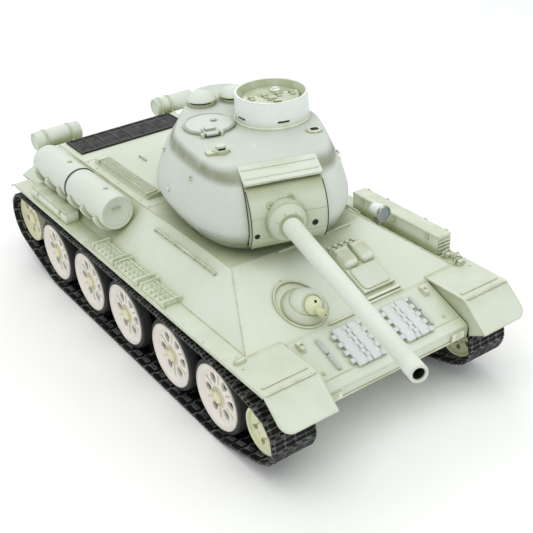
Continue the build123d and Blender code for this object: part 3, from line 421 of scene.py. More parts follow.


# Every paint below carries olive painted shade in recesses and along edges, from paint().
WHITE = rgb(213, 221, 206)
M = {
    "hull": paint("hull paint", WHITE, rgb(160, 165, 116)),
    # Turret: dark olive painted shade, in bands under the roof edge and round the foot.
    "turret": paint("turret paint", rgb(209, 216, 208), rgb(112, 120, 84), grain=0.45, strength=0.85, low=0.13,
                    high=0.6, bands=((0.1450, 0.0066, 0.80), (0.0960, 0.0200, 0.90))),
    # Mantlet: darker than the turret, with stronger olive painted shade and bands near its top and foot.
    "mantlet": paint("mantlet paint with painted shade", rgb(198, 207, 188), rgb(136, 145, 92), grain=0.45, reach=0.024,
                     strength=1.0, drifts=0.2, bands=((0.1420, 0.0110, 0.6), (0.0960, 0.0170, 0.7))),
    "cupola": paint("cupola paint", rgb(238, 244, 241), rgb(162, 168, 118), grain=0.45, reach=0.010,
                    strength=0.7, low=0.15, high=0.6),
    # Cupola bowl, floor and lid: a darker copy of the cupola paint, painted shade in the recess.
    "bowl": paint("cupola bowl painted shade", rgb(206, 212, 190), rgb(132, 138, 92), grain=0.45, reach=0.014,
                  strength=1.0, drifts=0.5),
    "drum": paint("drum paint", rgb(214, 222, 210), rgb(158, 165, 112), reach=0.014, drifts=0.15),
    # Gun housing: strong olive painted shade close round the bow gun ball.
    "mount": paint("gun housing paint", WHITE, rgb(146, 150, 100), reach=0.012, strength=1.0, low=0.03,
                   high=0.34),
    "trim": paint("fitting paint", rgb(226, 232, 218), rgb(152, 157, 106), reach=0.006, strength=0.85),
    "rack": paint("rack paint", rgb(222, 230, 210), rgb(146, 154, 110), reach=0.003, strength=0.7, low=0.25,
                  high=0.9, rub=0.25),
    "links": paint("spare link paint", rgb(212, 218, 216), rgb(128, 134, 112), grain=0.3, reach=0.003,
                   strength=0.6, low=0.35, high=0.95, rub=0.3),
    "wheel": paint("wheel paint", rgb(241, 236, 230), rgb(190, 184, 156), grain=0.2, reach=0.003, strength=0.8,
                   low=0.3, high=0.85),
    "hub": paint("hub paint", rgb(230, 228, 196), rgb(164, 162, 104), reach=0.003, strength=0.8, low=0.2,
                 high=0.8, drifts=0.15),
    "pale_green": paint("idler paint", rgb(226, 228, 192), rgb(168, 172, 112), reach=0.004, strength=0.85,
                        low=0.15, high=0.7),
    "tyre": plain("tyre rubber", rgb(52, 54, 52), 0.75, dust=0.25, grain=0.35),
    "track": plain("track links", rgb(10, 10, 11), 0.48, metal=0.3, dust=0.06, tint=rgb(40, 44, 40),
                   bright=0.75),
    "mesh": plain("screen wire", rgb(34, 35, 36), 0.45, metal=0.4, dust=0.1, bright=0.5),
    # Near-black for bores, holes, slits, gaps and the sheet under the screen: painted shadow.
    "dark": plain("painted shadow black", rgb(24, 25, 22), 0.8, dust=0.1),
    "black": plain("black plastic", rgb(30, 31, 33), 0.5),
    "steel": plain("bare steel", rgb(150, 150, 150), 0.35, metal=1.0, dust=0.3),
    "nylon": plain("gear plastic", rgb(224, 221, 208), 0.45, dust=0.2),
    "board": plain("circuit board", rgb(40, 92, 60), 0.4),
    "battery": plain("battery wrap", rgb(40, 70, 150), 0.25, dust=0.1),
    "silver": plain("lamp reflector", rgb(190, 194, 196), 0.22, metal=0.9, dust=0.3),
}
glass = Nodes("lamp glass")
M["glass"] = glass.finish(rgb(206, 216, 216), glass.ramp(glass.noise(400), 0.3, 0.7, 0.06, 0.2),
                          Transmission_Weight=0.55, IOR=1.45)


# ---------------------------------------------------------------- CAD nodes that stay
CAD_LOOKS = {
    "hull": ["upper_hull", "lower_hull", "fenders", "engine_deck", "driver_hatch"],
    "trim": ["drum_brackets"],
    "turret": ["loader_hatch"],
    "drum": ["turret_fittings"],
    # The mantlet takes its darker paint with stronger painted shade.
    "mantlet": ["mantlet"],
    "cupola": ["cupola", "headlamp"],
    "pale_green": ["bow_gun"],
    # The bow gun housing takes strong painted shade round the ball.
    "mount": ["bow_gun_mount"],
    # The cupola lid takes the darker bowl paint: painted shade in the recess.
    "bowl": ["cupola_hatch"],
    "black": ["battery_door", "gearboxes", "speaker", "power_switch"],
    "steel": ["screws", "drive_motors"] + [f"swing_arm_{name}_{n}" for _, name in SIDES for n in range(1, 6)],
    "nylon": ["ring_gear", "traverse_pinion"],
    "board": ["control_board"],
    "battery": ["battery_pack"],
    "glass": ["headlamp_lens"],
}
ROUNDED = {"upper_hull": 0.5, "fenders": 0.25, "engine_deck": 0.35, "driver_hatch": 0.5, "mantlet": 0.6,
           "cupola": 0.8, "cupola_hatch": 0.4, "loader_hatch": 0.5, "turret_fittings": 0.5,
           "bow_gun_mount": 0.7, "headlamp": 0.25, "drum_brackets": 0.2, "lower_hull": 0.5}
for look, names in CAD_LOOKS.items():
    for name in names:
        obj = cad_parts[name]
        obj.data.materials.clear()
        obj.data.materials.append(M[look])
        if name in ROUNDED:
            round_edges(obj, ROUNDED[name], 38)


# ---------------------------------------------------------------- tracks
def belt(circles):
    """Closed path round circles of (y, z, r), in order, as points 0.5 mm apart."""
    tangents = []
    for first, second in zip(circles, circles[1:] + circles[:1]):
        dy = second[0] - first[0]
        dz = second[1] - first[1]
        lean = math.asin((first[2] - second[2]) / math.hypot(dy, dz))
        tangents.append(math.atan2(dz, dy) - math.pi / 2 + lean)
    points = []
    for index, (y, z, r) in enumerate(circles):
        start = tangents[index - 1]
        turn = (tangents[index] - start) % TAU
        steps = max(2, int(r * turn / 0.5))
        for step in range(steps + 1):
            angle = start + turn * step / steps
            points.append((y + r * math.cos(angle), z + r * math.sin(angle)))
    return points


def link_radius(radius):
    return math.hypot(radius + TRACK_GAP + TRACK_T / 2, LINK_PITCH / 2)


def link_stations():
    """Pins of the track, equally spaced along its path."""
    wheel = TYRE_R + TRACK_GAP + TRACK_T / 2
    path = belt([
        (WHEEL_Y[0] - 1.4, WHEEL_Z, wheel),
        (WHEEL_Y[-1] + 1.4, WHEEL_Z, wheel),
        (*SPROCKET, link_radius(SPROCKET_R)),
        (WHEEL_Y[0], WHEEL_Z, link_radius(TYRE_R + 2.0)),
        (*IDLER, link_radius(IDLER_R)),
    ])
    path.append(path[0])
    lengths = [0.0]
    for a, b in zip(path, path[1:]):
        lengths.append(lengths[-1] + math.dist(a, b))
    pins = []
    cursor = 0
    for index in range(LINKS):
        target = index * lengths[-1] / LINKS
        while lengths[cursor + 1] < target:
            cursor += 1
        share = (target - lengths[cursor]) / (lengths[cursor + 1] - lengths[cursor])
        (ya, za), (yb, zb) = path[cursor], path[cursor + 1]
        pins.append((ya + share * (yb - ya), za + share * (zb - za)))
    return pins


def flat_link(shape, width, pitch):
    """Spare link: a flat plate with toothed ends, placed as track_link."""
    half = width / 2
    step = width / LINK_TEETH
    shape.box(-half, half, 1.4, pitch - 1.9, -0.6, 1.32)
    for index in range(LINK_TEETH):
        x = -half + index * step
        low, high = (-1.4, 3.0) if index % 2 == 0 else (pitch - 3.0, pitch + 0.9)
        shape.box(x, x + step, low, high, -0.6, 1.3)


def track_link(shape, width, pitch, horn):
    """One cast link: X across, Y along from pin to pin, Z outward."""
    half = width / 2
    step = width / LINK_TEETH
    shape.box(-half, half, 1.1, pitch - 1.1, -0.75, 0.7)
    face = 1.55
    for y in (1.3, pitch / 2 - 0.45, pitch - 2.2):
        shape.box(-half, half, y, y + 0.9, 0.6, face, 0.12)
    for share in (0.0, 0.24, 0.48, 0.72, 0.96):
        x = -half + share * (width - 1.0)
        shape.box(x, x + 1.1, 1.3, pitch - 1.3, 0.6, face, 0.12)
    for index in range(LINK_TEETH):
        x = -half + index * step
        y, inner = (0.0, 1.4) if index % 2 == 0 else (pitch, pitch - 1.4)
        shape.rod((x + 0.15, y, 0), (x + step - 0.15, y, 0), 1.15, 10)
        shape.box(x + 0.15, x + step - 0.15, min(y, inner), max(y, inner), -0.8, 0.8)
    for x in (-half + 3.4, half - 6.8):
        shape.box(x, x + 3.4, 2.6, pitch - 2.6, -1.35, -0.7, 0.3)
    if horn:
        rings = []
        for inset, z, thick in ((2.4, -0.7, 1.6), (3.4, -4.6, 1.3), (4.4, -7.3, 0.9)):
            far = pitch - inset
            rings.append([(-thick, inset, z), (thick, inset, z), (thick, far, z), (-thick, far, z)])
        shape.skin(rings)


def make_track(side, name):
    """Loop of separate links round one side's wheels."""
    shape = Shape(f"links_{name}")
    pins = link_stations()
    for index, (ya, za) in enumerate(pins):
        yb, zb = pins[(index + 1) % LINKS]
        pitch = math.hypot(yb - ya, zb - za)
        along = Vector((0, (yb - ya) / pitch, (zb - za) / pitch))
        out = Vector((0, along.z, -along.y))
        turn = Matrix((along.cross(out), along, out)).transposed().to_4x4()
        shape.place = Matrix.Translation((side * RUN_X, ya, za)) @ turn
        track_link(shape, TRACK_WIDTH, pitch, index % 2 == 0)
    shape.piece("hull", "track", [f"track_{name}"], bevel=0.16, segments=1)


for side, name in SIDES:
    make_track(side, name)


# ---------------------------------------------------------------- wheels
def holes(radius, size, phase, reach, pointed):
    """Cutter for a ring of six lozenge holes through a wheel that turns about X."""
    shape = Shape("cutters")
    for index in range(6):
        angle = phase + TAU * index / 6
        out = Vector((0, math.cos(angle), math.sin(angle)))
        round_way = Vector((0, -math.sin(angle), math.cos(angle)))
        ring = []
        for c, s in around(16):
            ring.append(out * (radius + size * pointed * c) + round_way * size * (1 + 0.18 * c) * s)
        shape.skin([[(x, p.y, p.z) for p in ring] for x in (-reach, reach)])
    return shape.object(bevel=0)


def make_wheel_mesh():
    """Left road wheel about its own centre: pressed discs, ribs, hub and bolts."""
    face = 11.5
    outline = [(RIM_R, -8.2), (RIM_R, -0.3), (RIM_R - 0.3, 0), (RIM_R - 1.0, 0), (RIM_R - 1.3, -0.6),
               (20.0, -0.9), (19.5, -0.5), (19.0, -0.6), (17.2, -2.5), (16.2, -2.9), (9.0, -2.7), (7.9, -2.2),
               (7.2, -1.9), (4.6, -1.9), (4.6, -4.5), (15.8, -4.6), (18.6, -3.0), (20.6, -3.0), (20.6, -8.2)]
    rim = Shape("rim")
    for mirror in (1, -1):
        rim.hoop([(r, mirror * (face + x)) for r, x in outline])
    body = rim.object(bevel=0)
    carve(body, [holes(12.1, 2.8, 0.0, 14, 1.3)])
    soften(body, 0.3, 30)
    rib = Shape("ribs")
    for mirror in (1, -1):
        for index in range(6):
            rib.place = Matrix.Rotation(TAU * (index + 0.5) / 6, 4, "X")
            rib.box(*sorted((mirror * (face - 3.2), mirror * (face - 2.3))), 8.6, 16.2, -0.45, 0.45, 0.12)
        rib.at()
        way = Vector((mirror, 0, 0))
        inner = way * (face - 4.5)
        rib.lathe([(6.9, 0), (6.9, 2.9), (6.5, 3.2), (5.3, 3.2), (5.2, 2.9)], inner, way, 36)
        rib.lathe([(4.5, 0), (4.5, 3.0), (4.2, 3.8), (3.2, 4.4), (1.6, 4.6), (0.01, 4.65)], inner, way, 36)
        for c, s in around(6, 0.5):
            spot = way * (face - 1.6) + Vector((0, 5.8 * c, 5.8 * s))
            rib.lathe([(0.55, 0), (0.55, 0.5), (0.4, 0.65)], spot, way, 6)
    rib.rod((-3.0, 0, 0), (3.0, 0, 0), 7.6, 32)
    hubs = rib.object(bevel=0.15)
    tyre = Shape("tyre")
    outline = [(RIM_R - 0.8, 0.3), (TYRE_R - 1.2, 0.0), (TYRE_R - 0.35, 0.35), (TYRE_R, 1.2), (TYRE_R, 6.6),
               (TYRE_R - 0.35, 7.45), (TYRE_R - 1.2, 7.8), (RIM_R - 0.8, 7.5)]
    for x0 in (-10.7, 2.9):
        tyre.hoop([(r, x0 + x) for r, x in outline])
    tyre.rod((-5.6, 0, 0), (5.6, 0, 0), 16.0, 48)
    return body, hubs, tyre.object(bevel=0, angle=50)


def place_copies(source, spots, look, replaced=None):
    """Copies of a wheel part at (name, body, side, y, z), the source used first."""
    source.data.materials.clear()
    source.data.materials.append(M[look])
    base = source.name
    copies = [source] + [source.copy() for _ in spots[1:]]
    for obj in copies[1:]:
        bpy.context.scene.collection.objects.link(obj)
    for obj, (name, body, side, y, z) in zip(copies, spots):
        obj.name = f"{base}_{name}"
        half_turn = Matrix.Rotation(0.0 if side > 0 else math.pi, 4, "Z")
        obj.matrix_world = Matrix.Translation((side * RUN_X * MM, y * MM, z * MM)) @ half_turn
        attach(obj, body)
        if replaced:
            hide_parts(replaced.format(name))


WHEEL_SPOTS = [(f"{name}_{number}", f"road_wheel_{name}_{number}", side, y, WHEEL_Z)
               for side, name in SIDES for number, y in enumerate(WHEEL_Y, 1)]
rims, hubs, tyres = make_wheel_mesh()
place_copies(rims, WHEEL_SPOTS, "wheel", "road_wheel_{}")
place_copies(hubs, WHEEL_SPOTS, "hub")
place_copies(tyres, WHEEL_SPOTS, "tyre")


def make_end_wheel(name, radius, hole_r, hole_size):
    """Idler or drive wheel: two rimmed discs with holes, a core between them and bolted hubs."""
    face = 10.0
    outline = [(radius, -6.0), (radius, -0.3), (radius - 0.3, 0), (radius - 1.6, 0), (radius - 2.4, -1.8),
               (6.4, -2.6), (5.8, -2.0), (3.2, -2.0), (3.2, -4.6), (radius - 3.0, -4.0), (radius - 2.2, -6.0)]
    discs = Shape(name)
    for mirror in (1, -1):
        discs.hoop([(r, mirror * (face + x)) for r, x in outline])
    body = discs.object(bevel=0)
    carve(body, [holes(hole_r, hole_size, 0.35, 20, 1.25)])
    soften(body, 0.25, 30)
    detail = Shape(f"{name}_hub")
    for mirror in (1, -1):
        way = Vector((mirror, 0, 0))
        start = way * (face - 2.6)
        detail.lathe([(5.2, 0), (5.2, 1.2), (4.4, 1.7), (3.6, 1.9), (0.01, 2.2)], start, way)
        for c, s in around(8):
            detail.lathe([(0.6, -0.6), (0.6, 0.9), (0.45, 1.1)], start + Vector((0, 6.6 * c, 6.6 * s)), way, 6)
    detail.rod((3 - face, 0, 0), (face - 3, 0, 0), 6.6, 32)
    return body, detail.object(bevel=0.12)


idler_disc, idler_hub = make_end_wheel("idler_disc", IDLER_R, 9.6, 1.7)
drive_disc, drive_hub = make_end_wheel("drive_disc", SPROCKET_R, 11.0, 2.1)
for disc, hub, look, kind, middle in ((idler_disc, idler_hub, "pale_green", "idler", IDLER),
                                      (drive_disc, drive_hub, "hub", "sprocket", SPROCKET)):
    end_spots = [(f"{kind}_{name}", f"{kind}_{name}", side, *middle) for side, name in SIDES]
    place_copies(disc, end_spots, look, "{}")
    place_copies(hub, end_spots, "hub")


# ---------------------------------------------------------------- turret
def spline_ring(points, count):
    """Smooth closed ring through points (Catmull-Rom), resampled evenly."""
    dense = []
    size = len(points)
    for i in range(size):
        p0, p1, p2, p3 = (Vector(points[(i + k - 1) % size]) for k in range(4))
        for step in range(24):
            t = step / 24
            square = 2 * p0 - 5 * p1 + 4 * p2 - p3
            cube = 3 * p1 - p0 - 3 * p2 + p3
            dense.append(0.5 * (2 * p1 + (p2 - p0) * t + square * t * t + cube * t ** 3))
    lengths = [0.0]
    for a, b in zip(dense, dense[1:] + dense[:1]):
        lengths.append(lengths[-1] + (b - a).length)
    ring = []
    cursor = 0
    for index in range(count):
        target = lengths[-1] * index / count
        while lengths[cursor + 1] < target:
            cursor += 1
        share = (target - lengths[cursor]) / (lengths[cursor + 1] - lengths[cursor])
        ring.append(dense[cursor].lerp(dense[(cursor + 1) % len(dense)], share))
    return ring


def turret_ring(front, half, rear, shoulder, tail, taper, z, inset=0.0):
    """Outline of the turret casting at one height; taper draws the rear in."""
    front, rear, half = front + inset, rear - inset, half - inset
    right = [(0.42 * half, front + 0.8), (0.80 * half, front * (1 - shoulder)), (half, 0.06 * rear),
             (0.97 * half, (0.42 - 0.12 * taper) * rear), (tail * half, (0.86 - 0.16 * taper) * rear),
             (0.45 * tail * half, 0.985 * rear)]
    ring = [(x, y, z) for x, y in right] + [(-x, y, z) for x, y in reversed(right)]
    return [(TURRET_X + p.x, p.y, z) for p in spline_ring(ring, 96)]


TURRET_LEVELS = [
    # front, half width, rear, shoulder, tail, taper, height
    (-46.0, 44.5, 46.0, 0.30, 0.62, 0.0, 93.9),
    (-52.5, 50.6, 53.0, 0.33, 0.63, 0.0, 97.0),
    (-56.5, 54.4, 61.0, 0.34, 0.64, 0.0, 101.0),
    (-60.8, 59.0, 90.0, 0.36, 0.66, 0.1, 108.5),
    (-62.2, 60.6, 97.5, 0.36, 0.66, 0.15, 113.0),
    (-62.4, 60.3, 99.0, 0.36, 0.66, 0.2, 118.0),
    (-61.4, 58.4, 99.0, 0.355, 0.66, 0.35, 124.5),
    (-59.8, 56.0, 98.9, 0.34, 0.66, 0.5, 131.0),
    (-57.6, 53.3, 98.6, 0.32, 0.65, 0.7, 136.5),
    (-54.4, 50.6, 97.8, 0.29, 0.64, 0.85, 142.0),
    (-51.0, 48.9, 97.6, 0.255, 0.63, 0.95, 146.0),
    (-46.4, 47.6, 97.2, 0.205, 0.615, 1.0, 148.8),
    (-41.5, 46.5, 96.6, 0.16, 0.605, 1.0, 149.8),
    (-38.6, 45.6, 96.0, 0.14, 0.60, 1.0, TURRET_ROOF_Z),
]


def cutter_box(*sizes):
    """Square cutter in the turret."""
    shape = Shape("cutter", TURRET_PLACE)
    shape.box(*sizes)
    return shape.object(bevel=0)


def cutter_bore(x, y, z0, z1, radius):
    """Upright round cutter in the turret."""
    shape = Shape("cutter", TURRET_PLACE)
    shape.lathe([(radius, 0), (radius, z1 - z0)], (x, y, z0), steps=64)
    return shape.object(bevel=0)


def make_turret():
    """Hollow cast shell with the mantlet opening, hatch openings and ring collar."""
    outer = Shape("turret_casting", TURRET_PLACE)
    outer.skin([turret_ring(*level) for level in TURRET_LEVELS])
    body = outer.object(bevel=0)
    wall, ceiling = 2.7, TURRET_ROOF_Z - 2.4
    inner = Shape("cutter", TURRET_PLACE)
    rings = [turret_ring(*level, wall) for level in TURRET_LEVELS[1:-3]]
    rings.append(turret_ring(*TURRET_LEVELS[-2][:-1], ceiling, wall))
    inner.skin(rings)
    left, right = MANTLET_X - MANTLET_HALF - 0.6, MANTLET_X + MANTLET_HALF + 0.6
    y, z = TRUNNION
    reach, sill = MANTLET_R + 0.6, TURRET_Z + 3.6
    gate = Shape("cutter", TURRET_PLACE)
    ring = [(y + reach * c, max(z + reach * s, sill)) for c, s in sweep(62, 176 / 48, 49)]
    gate.prism(ring + [(y - 10, sill)], left, right)
    carve(body, [
        inner.object(bevel=0), gate.object(bevel=0), cutter_box(left, right, -90, y - 16, 102, 134),
        cutter_box(-15, 15, -90, y - 17, 133, 141.6), cutter_bore(0, 0, TURRET_Z - 2, TURRET_Z + 4, 39),
        cutter_bore(CUPOLA[0] + 1, CUPOLA[1], 145, 152, 15.5), cutter_bore(*LOADER, 145, 152, 15.0),
    ])
    soften(body, 0.35, 38)
    dress(body, "turret", "turret", ["turret_shell"])
    extra = Shape("turret_ring_collar", TURRET_PLACE)
    extra.collar([(39.0, 88.2), (43.8, 88.2), (43.8, 94.6), (39.0, 94.6)], steps=72)
    extra.piece("turret", "turret", bevel=0.2)


def turret_seams():
    """Casting seam, front facet edges, parting marks and small fittings of the turret."""
    seam = Shape("turret_seams", TURRET_PLACE)
    line = turret_ring(-57.5, 55.3, 68.0, 0.345, 0.64, 0.0, 102.4)
    front = [p for p in line if p[1] > -44 or abs(p[0] - MANTLET_X) > 27.5]
    for sign in (-1, 1):
        seam.tube(sorted((p for p in front if sign * p[0] > 0), key=lambda p: p[1]), 0.34, 6, 0.35)
    edge = turret_ring(-60.95, 59.2, 90.2, 0.36, 0.66, 0.1, 108.9)
    edge = sorted((p for p in edge if p[0] < MANTLET_X - 25.5 and p[1] < -30), key=lambda p: p[0])
    seam.tube(edge, 0.22, 6)
    top = Vector(edge[0])
    seam.tube([top, top + Vector((1.2, -0.4, -3.2)), top + Vector((3.6, -1.2, -7.0))], 0.22, 6)
    small = Shape("turret_small_fittings", TURRET_PLACE)
    for sign in (-1, 1):
        for y, z, out in ((34, 134, 51.6), (-20, 136, 47.2)):
            x = TURRET_X + sign * out
            far, top = x + sign * 2.6, z + 0.6
            small.tube([(x, y - 1.8, z), (far, y - 1.8, top), (far, y + 1.8, top), (x, y + 1.8, z)], 0.6)
    for x, y in ((43.0, 2.0), (-3.0, -17.0)):
        small.lathe([(1.9, -0.4), (1.9, 0.5), (1.4, 0.8)], (x, y, 149.4), steps=20)
    for sign in (-1, 1):
        small.lathe([(1.5, -1.0), (1.5, 0.9), (1.0, 1.2)], (TURRET_X + sign * 59.0, 2.0, 121), (sign, 0, 0), 20)
    for x, y in ((-34.5, -19.25), (-30, -23.5), (-24, -25.2), (-19.6, -21), (-19.8, -15.5), (36.2, -14.6),
                 (43.8, -14.4), (45, -9), (35.4, -8.5)):
        small.bolt(x, y, TURRET_ROOF_Z, 0.55, 0.5)
    for c, s in around(16):
        for x, y in DOMES:
            small.bolt(x + 10.4 * c, y + 10.4 * s, TURRET_ROOF_Z - 0.25, 0.4, 0.5)
    small.piece("turret", "trim", bevel=0.1)
    seam.piece("turret", "turret", bevel=0)


# ---------------------------------------------------------------- gun
def make_gun():
    """Tapered tube with a stepped root, a soft muzzle ring and an open bore."""
    y, z = TRUNNION
    root = (0, y - 8, z)
    ahead = (0, -1, 0)
    muzzle = GUN_LENGTH - 8
    shape = Shape("gun_tube", GUN_PLACE)
    shape.lathe([(5.2, 0), (5.95, 0.5), (5.95, 33.6), (5.6, 34.2), (5.35, 80), (4.85, 130), (4.6, muzzle - 9.5),
                 (4.78, muzzle - 9.2), (4.8, muzzle - 0.7), (4.5, muzzle - 0.1), (3.5, muzzle - 0.1),
                 (3.1, muzzle - 0.5), (3.05, muzzle - 58), (0.01, muzzle - 58)], root, ahead, 48)
    shape.piece("gun", "drum", ["gun_barrel"], bevel=0, angle=40)
    # Near-black lining inside the bore: painted shadow.
    dark = Shape("gun_bore_shadow", GUN_PLACE)
    dark.lathe([(3.0, muzzle - 57), (3.0, muzzle - 1.2), (2.9, muzzle - 1.2), (2.9, muzzle - 56),
                (0.01, muzzle - 56)], root, ahead)
    dark.piece("gun", "dark", bevel=0)
    fit = Shape("mantlet_details", GUN_PLACE)
    for x, angle in ((-9.0, 24), (5.0, 30)):
        way = Vector((0, *sweep(180 - angle, 0, 1)[0]))
        fit.lathe([(2.0, 0), (2.0, 1.0), (1.6, 1.4), (1.0, 1.4), (1.0, 0.9), (0.01, 0.9)],
                  Vector((x, y, z)) + way * (MANTLET_R - 0.4), way, 24)
    left, right = MANTLET_X - MANTLET_HALF + 0.5, MANTLET_X + MANTLET_HALF - 0.5
    for angle, gap in ((-9, 11.8), (22, 9.5)):
        c, s = sweep(180 + angle, 0, 1)[0]
        fy, fz = y + MANTLET_R * c + 0.1, z + MANTLET_R * s
        for x0, x1 in ((left, -gap), (gap, right)):
            fit.tube([(x0, fy, fz), (x1, fy, fz)], 0.28, 6)
    front = y - MANTLET_R
    fit.lathe([(12.2, 0), (12.6, 0.4), (12.2, 1.1), (11.4, 1.2), (11.4, 0)], (0, front - 1.6, z), ahead, 48)
    for c, s in around(8, 0.5):
        fit.lathe([(0.55, -0.6), (0.55, 0.7), (0.4, 0.85)], (8.6 * c, front - 8.2, z + 8.6 * s), ahead, 6)
    fit.piece("gun", "mantlet", bevel=0.15)
    # Near-black discs in the sight holes: painted shadow.
    sight = Shape("mantlet_sight_hole_shadows", GUN_PLACE)
    for x, height, radius in ((-18.5, -7.5, 1.7), (18.6, -5.0, 2.0)):
        fy = y - math.sqrt(MANTLET_R ** 2 - height ** 2)
        sight.lathe([(radius, 0), (radius, 0.5)], (x, fy + 0.35, z + height), (0, -1, 0.03 * height), 24)
    sight.piece("gun", "dark", bevel=0)


# ---------------------------------------------------------------- cupola
def cupola_details():
    """Rim, painted-shade bowl floor and near-black vision slits of the cupola, painted shadows round the domes
    and beside the mantlet, and the details of both turret lids.
    """
    cupola_place = TURRET_PLACE @ Matrix.Translation((*CUPOLA, 0))
    fit = Shape("cupola_details", cupola_place)
    fit.lathe([(CUPOLA_R + 0.2, -0.4), (CUPOLA_R + 1.9, 0.0), (CUPOLA_R + 1.8, 0.7), (CUPOLA_R + 0.7, 1.4),
               (CUPOLA_R - 2, 1.4), (CUPOLA_R - 2, 0)], (0, 0, TURRET_ROOF_Z), steps=64)
    for c, s in around(18):
        fit.bolt(20.2 * c, 20.2 * s, 162.4, 0.5, 0.5)
    fit.box(-19, -9, -0.2, 3.2, 162.8, 164.3, 0.2)
    fit.box(9, 19, -0.2, 3.2, 162.8, 164.3, 0.2)
    fit.lathe([(3.6, 0), (3.6, 1.6), (3.1, 2.1), (2.0, 2.3), (0.01, 2.3)], (6, 9, 163))
    fit.box(3.4, 8.6, 7.2, 11, 164.6, 166.0, 0.4)
    fit.piece("turret", "cupola", bevel=0.15)
    # Half floor and sloping inner wall of the bowl in the darker bowl paint: painted shade in the recess.
    floor = Shape("cupola_bowl_shade", cupola_place)
    half = [(19.2 * c, 0.5 + 18.7 * s) for c, s in sweep(0, 180 / 32, 33)]
    floor.skin([[(x, y, z) for x, y in half] for z in (163.1, 163.35)])
    floor.collar([(19.4, 162.6), (22.9, 167.5), (22.6, 167.5), (19.2, 162.6)])
    floor.piece("turret", "bowl", bevel=0)
    # Near-black pieces: painted shadow in the vision slits, round the domes, in the gaps beside the mantlet and
    # in two small roof spots.
    slit = Shape("dark_slit_and_gap_shadows")
    for index in range(5):
        slit.place = cupola_place @ Matrix.Rotation(math.radians(72 * index - 90), 4, "Z")
        slit.box(CUPOLA_R - 0.9, CUPOLA_R - 0.2, -3.9, 3.9, 153.95, 155.25)
    slit.at(TURRET_PLACE)
    # Dark arcs on one side of each dome: painted shadow.
    for x, y in DOMES:
        slit.tube([(x + 9.6 * c, y + 9.6 * s, 152.7) for c, s in sweep(205, 6, 16)], 0.55)
    # Dark strips in the gaps beside the mantlet: painted shadow.
    y, z = TRUNNION
    reach = MANTLET_R + 0.1
    for x in (MANTLET_X - MANTLET_HALF - 0.3, MANTLET_X + MANTLET_HALF + 0.3):
        slit.tube([(x, y + reach * c, z + reach * s) for c, s in sweep(128, 4, 25)], 0.3, 6)
    slit.box(-27.2, -22.8, -22.35, -22.05, 151.0, 153.6)
    slit.box(38.2, 41.8, -13.2, -9.0, 150.6, 151.35)
    slit.piece("turret", "dark", bevel=0)
    lid = Shape("cupola_lid_details", cupola_place)
    lid.tube([(-5, -9, 164.2), (-5, -9, 165.6), (1, -9, 165.6), (1, -9, 164.2)], 0.45)
    for x in (-14, -4.7, 4.7, 14):
        lid.box(x - 1.6, x + 1.6, -5.4, -0.6, 164.2, 165.1, 0.3)
    lid.piece("cupola_hatch", "bowl", bevel=0.12)
    x, y = LOADER
    loader = Shape("loader_lid_details", TURRET_PLACE)
    loader.collar([(16.9, 151.5), (16.9, 151.9), (16.2, 152.15), (15.4, 151.9), (15.4, 151.5)], x, y)
    loader.lathe([(2.0, 0), (2.0, 1.0), (1.2, 1.4)], (x + 4, y + 3, 151.6), steps=24)
    loader.piece("loader_hatch", "turret", bevel=0.1)


make_turret()
turret_seams()
make_gun()
cupola_details()


# ---------------------------------------------------------------- hull details
def weld_seams():
    """Weld beads along the joints of the armour plates."""
    seam = Shape("hull_welds")
    for side in (-1, 1):
        low = Vector((side * (SPONSON_HALF - 0.2), NOSE[0] + (FENDER_Z - NOSE[1]) / math.tan(SLOPE) + 0.5,
                      FENDER_Z + 0.3))
        high = Vector((side * ROOF_HALF, ROOF_FRONT_Y, ROOF_Z))
        seam.tube([low.lerp(high, k / 40) for k in range(41)], 0.42, 6, 0.3)
        seam.tube([(side * ROOF_HALF, ROOF_FRONT_Y + k * 4.9, ROOF_Z + 0.02) for k in range(51)], 0.30, 6, 0.3)
        x = side * (SPONSON_HALF - 0.1)
        seam.tube([(x, -94 + k * 5.2, FENDER_Z + 0.15) for k in range(58)], 0.32, 6, 0.3)
        rear = Vector((side * ROOF_HALF, ROOF_REAR_Y, ROOF_Z))
        tail = Vector((side * (SPONSON_HALF - 0.3), REAR_LIP[0] - 0.4, REAR_LIP[1] + 1.0))
        seam.tube([rear.lerp(tail, k / 20) for k in range(21)], 0.4, 6, 0.3)
    for y in (62.0, 160.0):
        seam.tube([(-51.4 + k * 3.42, y, ROOF_Z + 0.02) for k in range(31)], 0.26, 6, 0.3)
    nose = NOSE[0] + 6.5
    height = NOSE[1] + (nose - NOSE[0]) * math.tan(SLOPE) + 0.05
    seam.tube([(-56 + k * 3.5, nose, height) for k in range(33)], 0.3, 6, 0.3)
    seam.piece("hull", "hull", bevel=0)


def rounded_box(half_x, half_y, corner, steps=6):
    """Rectangle with rounded corners as (x, y) points."""
    points = []
    for quarter, (sx, sy) in enumerate(((1, 1), (-1, 1), (-1, -1), (1, -1))):
        for c, s in sweep(90 * quarter, 90 / steps, steps + 1):
            points.append((sx * (half_x - corner) + corner * c, sy * (half_y - corner) + corner * s))
    return points


